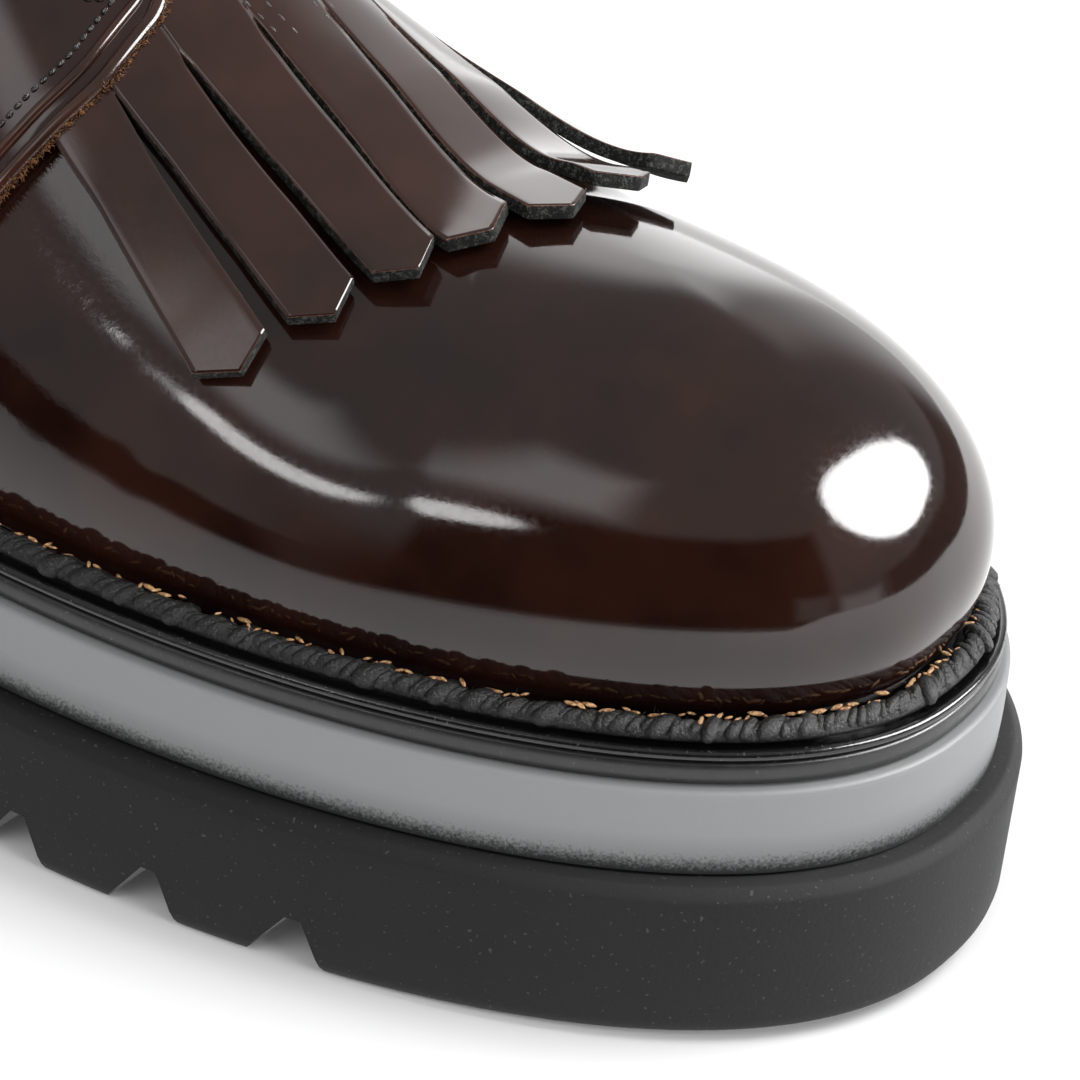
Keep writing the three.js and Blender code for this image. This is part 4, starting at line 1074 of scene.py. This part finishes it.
def makeKiltie():
    lines = stripLines()
    strips = [makeStrip(lines, index) for index in range(len(lines))]
    addPiece("kiltie_fringe", strips, [stripLeather, cutEdge, edgeLine, cutEdge], ["kiltie"])
    x = np.linspace(kiltieSizes["tabBack"], last["throatX"] - 4, 60)
    across = np.linspace(-1, 1, 17)
    half = kiltieSizes["tabHalf"] * np.minimum(1, np.sqrt(np.clip((x - 121.0) / 5, 0, 1)) * 0.6 + 0.4)
    rise = blend(0.1 - last["wall"], 0.0, smooth((x - last["throatX"] + 12) / 14))
    grid = [np.broadcast_to(x[:, None], (60, 17)), half[:, None] * across]
    rise = np.broadcast_to(rise[:, None], (60, 17))
    tab = closedSheet(overInstep(*grid, rise + kiltieSizes["thick"]), overInstep(*grid, rise), (0, 1, 3), 0.1, line=2)
    addPiece("kiltie_tab", tab, [stripLeather, cutEdge, edgeLine, cutEdge], ["kiltie"])


eyelets = {"pairs": 4, "pitch": 17.0, "firstX": 168.0, "fromEdge": 7.0, "bore": 1.7, "barrel": 2.2, "flange": 3.6}


def eyeletPlace(side, pair):
    x = np.array([eyelets["firstX"] - pair * eyelets["pitch"]])
    station, up = findOver(x, crownY(x) + side * (last["facingGap"] + eyelets["fromEdge"]))
    return upperPoint(station, up)[0], upperNormal(station, up)[0]


def makeEyelets():
    quarterTop = quarterSizes["gap"] + quarterSizes["thick"]
    bore, barrel, flange = eyelets["bore"], eyelets["barrel"], eyelets["flange"]
    low = -last["wall"] - quarterTop + 0.2
    profile = [(bore, low), (barrel, low), (barrel, 0.25), (flange - 0.1, 0.25), (flange, 0.42), (flange - 0.12, 0.66),
               (flange - 0.5, 0.88), (flange - 1.0, 1.0), (bore + 0.25, 0.98), (bore + 0.02, 0.78), (bore, 0.5)]
    turns = np.arange(36) * 2 * math.pi / 36
    for side, word in ((-1, "outer"), (1, "inner")):
        for pair in range(eyelets["pairs"]):
            place, normal = eyeletPlace(side, pair)
            across = unit(np.cross(normal, [1.0, 0, 0]))
            ahead = np.cross(across, normal)
            ring = across * np.cos(turns)[:, None] + ahead * np.sin(turns)[:, None]
            points = [place + ring * r + normal * (quarterTop + z) for r, z in profile]
            faces = gridFaces(len(profile) + 1, len(turns), closed=True) % (len(profile) * len(turns))
            name = f"eyelet_{word}_{pair + 1}"
            addPiece(name + "_turned", outward(part(np.concatenate(points), faces)), [eyeletMetal], [name], sharp=50)


def makeLaces():
    quarterTop = quarterSizes["gap"] + quarterSizes["thick"]
    rest = quarterTop + 0.3 + 0.7 + 1.2 + 0.3
    shares = np.array([-1, -0.72, -0.4, 0, 0.4, 0.72, 1])
    outs = np.array([0.35, 0.1, -0.5, -0.9, -0.5, 0.1, 0.35])
    reach = last["facingGap"] + eyelets["fromEdge"]
    for pair in range(eyelets["pairs"]):
        x = np.full(7, eyelets["firstX"] - pair * eyelets["pitch"])
        middle = overForepart(x, crownY(x) + shares * reach, rest + outs)
        ends = []
        for side in (-1, 1):
            place, normal = eyeletPlace(side, pair)
            ends.append([place + normal * (-last["wall"] - 0.2), place + normal * (quarterTop + 0.6)])
        points = np.array([*ends[0], *middle, ends[1][1], ends[1][0]])
        path = curveThrough(points, 90)
        cord = tube(path, 1.2, 14, 0, (1.0, 0, 0.3))
        addPiece(f"lace_bar_{pair + 1}_cord", cord, [laceFinish], [f"lace_bar_{pair + 1}"])


# A smooth curve through points, with knots spaced by the root of their distance
def curveThrough(points, count):
    points = np.concatenate([[2 * points[0] - points[1]], points, [2 * points[-1] - points[-2]]])
    knots = np.concatenate([[0], np.cumsum(np.sqrt(np.linalg.norm(np.diff(points, axis=0), axis=1)))])
    at = np.linspace(knots[1], knots[-2], count)
    path = []
    for u in at:
        i = int(np.clip(np.searchsorted(knots, u) - 1, 1, len(points) - 3))
        k, p = knots[i - 1:i + 3], points[i - 1:i + 3]
        a = [p[j] * (k[j + 1] - u) / (k[j + 1] - k[j]) + p[j + 1] * (u - k[j]) / (k[j + 1] - k[j]) for j in range(3)]
        b = [a[j] * (k[j + 2] - u) / (k[j + 2] - k[j]) + a[j + 1] * (u - k[j]) / (k[j + 2] - k[j]) for j in range(2)]
        path.append(b[0] * (k[2] - u) / (k[2] - k[1]) + b[1] * (u - k[1]) / (k[2] - k[1]))
    return np.array(path)


soleStations = np.linspace(0, 2 * shoe["halfCount"], 641)[:-1]


# A slab of the sole: rings of inset and height from its lowest to its highest, capped by ladders of faces
def slab(rings, level, which=None):
    n = len(soleStations)
    points, tones = [], []
    heights = [ring[1] for ring in rings]
    for ring in rings:
        plan = insetPoint(soleStations, np.full(n, ring[0]))
        base = undersideLift(plan[:, 0]) if len(ring) > 2 else level(plan[:, 0])
        points.append(np.column_stack([plan, base + ring[1]]))
        tones.append(np.full(n, (ring[1] - heights[0]) / max(heights[-1] - heights[0], 1e-6)))
    faces = gridFaces(len(rings), n, closed=True).tolist()
    top = (len(rings) - 1) * n
    for k in range(n // 2):
        near, far = (n - k) % n, n - k - 1
        low = [k, near, far, k + 1] if k else [0, far, 1]
        low = [k, near, k + 1] if k + 1 == far else low
        faces.append(low)
        faces.append([top + i for i in low[::-1]])
    return outward(part(np.concatenate(points), faces, 0, np.concatenate(tones)))


def makeSole():
    h0, h1, h2 = shoe["outsoleHeight"], greyTop, blackTop
    seam, g, b = shoe["seam"], shoe["greyInset"], shoe["blackInset"]
    grey = [(g + 0.5, seam), (g + 0.05, seam + 0.15)]
    grey += [(g + 0.06 * math.cos(z / 11 * 6.28) - 0.04, seam + 0.15 + z) for z in np.linspace(0.5, 10.4, 22)]
    grey += [(g + 0.05, seam + 11.1), (g + 0.20, seam + 11.42), (g + 0.8, seam + 11.58)]
    addPiece("grey_layer", slab(grey, lambda x: h0 + lift(x)), [greyFoam], ["midsole_grey"], "rise", sharp=60)
    black = [(b + 0.5, seam), (b + 0.12, seam + 0.12), (b - 0.02, seam + 0.45), (b - 0.10, seam + 1.2),
             (b - 0.08, seam + 1.9), (b + 0.04, seam + 2.5), (b + 0.22, seam + 2.78), (b + 0.7, seam + 2.88)]
    addPiece("black_layer", slab(black, lambda x: h1 + lift(x)), [midsoleRubber], ["midsole_black"], sharp=60)
    welt = [(b + 0.5, seam), (b + 0.05, seam + 0.1), (b - 0.12, seam + 0.35), (b - 0.14, seam + 0.7), (b + 0.02, seam + 1.02),
            (b + 0.3, seam + 1.2), (b + 0.7, seam + 1.24), (b + 1.0, seam + 1.12), (b + 1.3, seam + 0.9), (b + 6.5, seam + 0.95)]
    addPiece("welt_plate", slab(welt, lambda x: h2 + lift(x)), [weltRubber], ["welt"], sharp=60)
    rest = shoe["length"] and last["featherInsetRear"] + last["wall"] + seam
    insole = [(rest + 0.4, seam), (rest, seam + 0.4), (rest, seam + 2.5), (rest + 0.5, seam + 3.0)]
    addPiece("insole_sheet", slab(insole, soleTop), [insoleLeather], ["insole"], sharp=60)


notches = {"pitch": 19.0, "length": 10.0, "depth": 6.9, "reach": 20.0, "fore": 4, "heel": 2, "foreAt": 0.7812, "heelAt": 0.09}


def notchCutter(x, side):
    n = notches
    shape = [(0, -2), (n["length"], -2), (n["length"], 0), (n["length"] * 0.70, n["depth"]),
             (n["length"] * 0.50, n["depth"]), (0, 0)]
    edgeY = float(sideEdge(np.array(x + n["length"] / 2), np.array(side)))
    near = edgeY - 10 if side < 0 else edgeY - n["reach"]
    rise = float(undersideLift(np.array(x + n["length"] / 2)))
    points = [(x + a, y, rise + b) for y in (near, near + n["reach"] + 10) for a, b in shape]
    m = len(shape)
    faces = [[i, (i + 1) % m, m + (i + 1) % m, m + i] for i in range(m)]
    return points, faces + [list(range(m))[::-1], list(range(m, 2 * m))]


def makeOutsole():
    bevel, top = shoe["bevel"], shoe["outsoleHeight"]
    rings = [(1.3, 0.0, 1), (0.62, 0.25, 1), (0.22, 0.9, 1), (0.0, 2.0, 1)]
    rings += [(0.0, z) for z in (-12.5, -8.0, -4.0)]
    rings += [(0.0, -bevel - 0.35), (0.06, -bevel - 0.08), (0.28, -bevel + 0.22), (bevel - 0.3, -0.24), (bevel, -0.04), (bevel + 0.4, 0.0)]
    body = slab(rings, lambda x: top + lift(x))
    piece = addPiece("lugged_outsole", body, [outsoleFoam], ["outsole"])
    starts = [shoe["length"] * notches["foreAt"] - i * notches["pitch"] for i in range(notches["fore"])]
    starts += [shoe["length"] * notches["heelAt"] + i * notches["pitch"] for i in range(notches["heel"])]
    points, faces = [], []
    for x in starts:
        for side in (-1, 1):
            own, some = notchCutter(x, side)
            faces += [[i + len(points) for i in face] for face in some]
            points += own
    mesh = bpy.data.meshes.new("notch_cutters")
    mesh.from_pydata(toFrame(points).tolist(), [], faces)
    shape = bmesh.new()
    shape.from_mesh(mesh)
    bmesh.ops.recalc_face_normals(shape, faces=shape.faces)
    shape.to_mesh(mesh)
    shape.free()
    cutter = bpy.data.objects.new("notch_cutters", mesh)
    bpy.context.scene.collection.objects.link(cutter)
    cut = piece.modifiers.new("notches", "BOOLEAN")
    cut.operation, cut.solver, cut.object = "DIFFERENCE", "EXACT", cutter
    done = bpy.data.meshes.new_from_object(piece.evaluated_get(bpy.context.evaluated_depsgraph_get()))
    piece.modifiers.clear()
    piece.data = done
    done.set_sharp_from_angle(angle=math.radians(35))
    bpy.data.objects.remove(cutter)
    print("notches cut,", len(done.polygons), "faces")


braid = {"inner": 5.2, "width": 4.5, "height": 2.4, "pitch": 4.2, "slant": 42.0, "tufts": 620}


def makeBraid():
    chance = np.random.default_rng(5)
    dense = np.linspace(0, 2 * shoe["halfCount"], 1601)
    middle = braid["inner"] + braid["width"] / 2

    def ringAt(inset, rise):
        plan = insetPoint(dense, np.full(len(dense), inset))
        return np.column_stack([plan, soleTop(plan[:, 0]) + shoe["seam"] + rise])
    core = resampled(ringAt(middle, 0.75), pitch=1.0)[:-1]
    pieces = [tube(core, 1.50, 12, 0, (0, 0, 1.0), closed=True, flat=0.78)]
    line = resampled(ringAt(middle, 1.15), pitch=braid["pitch"])[:-1]
    along, across, out = pathFrames(np.concatenate([line[-1:], line, line[:1]]), (0, 0, 1.0))
    along, across, out = along[1:-1], across[1:-1], out[1:-1]
    slant = math.radians(braid["slant"])
    for shift, turn, sizes, lift_ in ((0.0, slant, (2.3, 1.30, 1.25), 0.0), (1.5, slant * 1.5, (2.0, 0.90, 1.10), 0.05),
                                      (-1.5, slant * 0.8, (1.8, 0.85, 1.05), 0.10)):
        turns = turn + chance.normal(0, 0.17, (len(line), 1))
        lean = along * np.cos(turns) + across * np.sin(turns)
        wide = across * np.cos(turns) - along * np.sin(turns)
        grow = 1 + chance.normal(0, 0.10, (len(line), 1, 1))
        place = line + along * (shift + chance.normal(0, 0.12, (len(line), 1))) + out * lift_
        place += across * chance.normal(0, 0.1, (len(line), 1))
        pieces.append(repeated(ball(12, 8), place, scaledAxes(lean, wide, out, sizes) * grow))
    addPiece("braid_cord", pieces, [cordFinish], ["welt_braid"])
    inside = resampled(ringAt(braid["inner"] + braid["width"] * 0.74, 2.15), count=braid["tufts"])
    along, across, out = pathFrames(inside, (0, 0, 1.0))
    kept = chance.random(len(inside)) < 0.62
    inside = inside + across * chance.normal(0, 0.28, (len(inside), 1)) + out * chance.normal(0, 0.16, (len(inside), 1))
    turns = chance.normal(0, 0.7, (len(inside), 1))
    lean = along * np.cos(turns) + across * np.sin(turns)
    axes = scaledAxes(lean, np.cross(out, lean), out, (0.72, 0.22, 0.20)) * chance.uniform(0.5, 1.5, (len(inside), 1, 1))
    addPiece("tan_thread_specks", repeated(ball(6, 4), inside[kept], axes[kept]), [tanThread])
    frayed = resampled(ringAt(middle, 1.9), count=900)
    along, across, out = pathFrames(frayed, (0, 0, 1.0))
    frayed = frayed + across * chance.uniform(-1.6, 1.6, (900, 1))
    addPiece("cord_fuzz", fibres(frayed, out + along * 0.5, 0.8, 0.05, chance, 0.7), [cordFinish])


makeSole()
makeOutsole()
makeUpper()
makeQuarter(-1, "outer")
makeQuarter(1, "inner")
makeCollarRoll()
makeBackStrip()
makeTongue()
makeKiltie()
makeEyelets()
makeLaces()
makeBraid()

# Soft-edged cards that only reflections see, by direction from the toe: azimuth, elevation, their half sizes in
# degrees, how much its right end leans up, distance, radiance, how wide the soft edge is, whether the card is round
studio = {
    "aim": (0.105, -0.005, 0.055), "world": 0.50, "tableReach": 0.33, "tableGlow": 2.6,
    "cards": [
        ("soft_box", 33.0, 37.5, 33.0, 17.0, -10.0, 1.9, 26.0, 0.06, True),
        ("streak_card", -101.5, 36.4, 9.0, 3.5, 0.0, 1.9, 11.0, 0.35, True),
        ("front_card", -99.0, 54.0, 25.0, 10.5, 0.0, 1.9, 2.4, 0.70, False),
        ("back_card", 132.0, 17.0, 26.0, 35.0, 4.0, 2.3, 3.0, 0.35, False),
        ("back_glow", 122.0, 12.0, 36.0, 42.0, 0.0, 2.5, 1.2, 0.40, False),
        ("dark_card", 50.0, 1.5, 43.0, 12.5, 0.0, 2.1, 0.14, 0.22, False),
        ("small_card", -2.0, -3.0, 12.0, 13.0, 0.0, 2.0, 1.5, 0.45, False),
        ("corner_card", -22.0, 3.0, 9.0, 10.0, 0.0, 2.05, 0.5, 0.60, False),
        ("camera_side", -58.0, 17.5, 46.0, 27.0, 0.0, 2.2, 0.0, 0.12, False),
        ("low_dark", -115.0, -1.0, 16.0, 9.0, 0.0, 2.2, 0.0, 0.30, False),
    ],
    "lamps": [
        ("key", 40, 55, 2.2, 1.2, 1.2, 8.5),
        ("fill", -100, 40, 2.4, 1.8, 1.4, 1.9),
        ("side", -4, 24, 2.3, 0.9, 0.9, 8.0),
    ],
}


def cardMesh(name, azimuth, elevation, halfAz, halfEl, lean, away, edge, rounded):
    steps = np.linspace(-1, 1, 33)
    across, rise = np.meshgrid(steps, steps)
    a, e = np.radians(azimuth + across * halfAz), np.radians(elevation + rise * halfEl + across * lean)
    out = np.stack([np.cos(a) * np.cos(e), np.sin(a) * np.cos(e), np.sin(e)], -1) * away + studio["aim"]
    reach = np.hypot(across, rise) if rounded else np.maximum(np.abs(across), np.abs(rise))
    cover = smooth((1 - reach) / edge)
    mesh = bpy.data.meshes.new(name)
    mesh.from_pydata(out.reshape(-1, 3).tolist(), [], gridFaces(33, 33).tolist())
    mesh.attributes.new("cover", "FLOAT", "POINT").data.foreach_set("value", cover.ravel())
    return mesh


def stagePiece(name, mesh, material, onlyGlossy):
    mesh.materials.append(material)
    piece = bpy.data.objects.new(name, mesh)
    bpy.context.scene.collection.objects.link(piece)
    if onlyGlossy:
        piece.visible_camera = piece.visible_diffuse = piece.visible_shadow = piece.visible_transmission = False
    return piece


def makeCards():
    for name, azimuth, elevation, halfAz, halfEl, lean, away, radiance, edge, rounded in studio["cards"]:
        card = Finish(name)
        card.tree.nodes.remove(card.shader)
        light = card.tree.nodes.new("ShaderNodeEmission")
        light.inputs["Strength"].default_value = radiance
        clear = card.tree.nodes.new("ShaderNodeBsdfTransparent")
        mix = card.tree.nodes.new("ShaderNodeMixShader")
        card.tree.links.new(card.attribute("cover").socket, mix.inputs[0])
        card.tree.links.new(clear.outputs[0], mix.inputs[1])
        card.tree.links.new(light.outputs[0], mix.inputs[2])
        card.tree.links.new(mix.outputs[0], card.tree.nodes["Material Output"].inputs["Surface"])
        stagePiece(name, cardMesh(name, azimuth, elevation, halfAz, halfEl, lean, away, edge, rounded), card.material, True)


# The floor, and the nearer table top that the glossy pieces see in its place. The table top glows with painted light,
# brighter on the side towards the key lamp
def makeFloor():
    paper = Finish("floor_paper", Roughness=0.7, Specular_IOR_Level=0.1)
    tone = paper.mixed(paper.noise(6, 3.0), (0.86, 0.86, 0.86), (0.90, 0.90, 0.90))
    paper.feed(Base_Color=tone)
    mesh = bpy.data.meshes.new("pale_floor")
    mesh.from_pydata([(-4, -4, 0), (4, -4, 0), (4, 4, 0), (-4, 4, 0)], [], [(0, 1, 2, 3)])
    floor = stagePiece("pale_floor", mesh, paper.material, False)
    floor.visible_glossy = False
    turn = np.radians(np.arange(0, 360, 5))
    degrees = (np.degrees(turn) + 180) % 360 - 180
    reach = blend(studio["tableReach"], 3.0, smooth((np.abs(degrees + 77) - 48) / 30))
    x, y, z = studio["aim"]
    rim = [(x + r * math.cos(t), y + r * math.sin(t), 0) for r, t in zip(reach, turn)]
    table = bpy.data.meshes.new("table_top")
    table.from_pydata(rim, [], [tuple(range(len(rim)))])
    top = Finish("table_painted_glow", Roughness=0.7, Specular_IOR_Level=0.1, Base_Color=(0.84, 0.84, 0.84, 1.0))
    # Painted light: the table top's glow is brighter towards azimuth 38, where the lamps light the floor
    painted_lit_glow = table.attributes.new("lit", "FLOAT", "POINT")
    toward = np.cos(turn - math.radians(38))
    painted_lit_glow.data.foreach_set("value", 0.5 + 1.1 * np.clip(toward + 0.4, 0, 1.4))
    glow = top.attribute("lit")
    top.feed(Emission_Color=top.mixed(glow * 0.5, (0, 0, 0), (1, 1, 1)))
    top.shader.inputs["Emission Strength"].default_value = studio["tableGlow"]
    stagePiece("table_top", table, top.material, True)


def makeLamps():
    aim = Vector(studio["aim"])
    for name, azimuth, elevation, away, wide, high, radiance in studio["lamps"]:
        a, e = math.radians(azimuth), math.radians(elevation)
        direction = Vector((math.cos(a) * math.cos(e), math.sin(a) * math.cos(e), math.sin(e)))
        data = bpy.data.lights.new(name, "AREA")
        data.shape = "RECTANGLE"
        data.size, data.size_y = wide, high
        data.energy = radiance * wide * high * math.pi
        lamp = bpy.data.objects.new(name, data)
        lamp.location = aim + direction * away
        lamp.rotation_mode = "QUATERNION"
        lamp.rotation_quaternion = direction.to_track_quat("Z", "Y")
        lamp.visible_camera = lamp.visible_glossy = False
        bpy.context.scene.collection.objects.link(lamp)


def makeWorld():
    world = bpy.data.worlds.new("studio")
    world.use_nodes = True
    grey = world.node_tree.nodes["Background"]
    grey.inputs["Color"].default_value = (1, 1, 1, 1)
    grey.inputs["Strength"].default_value = studio["world"]
    bpy.context.scene.world = world
    bpy.context.scene.view_settings.view_transform = "Standard"


makeFloor()
makeCards()
makeLamps()
makeWorld()
print("stage set")
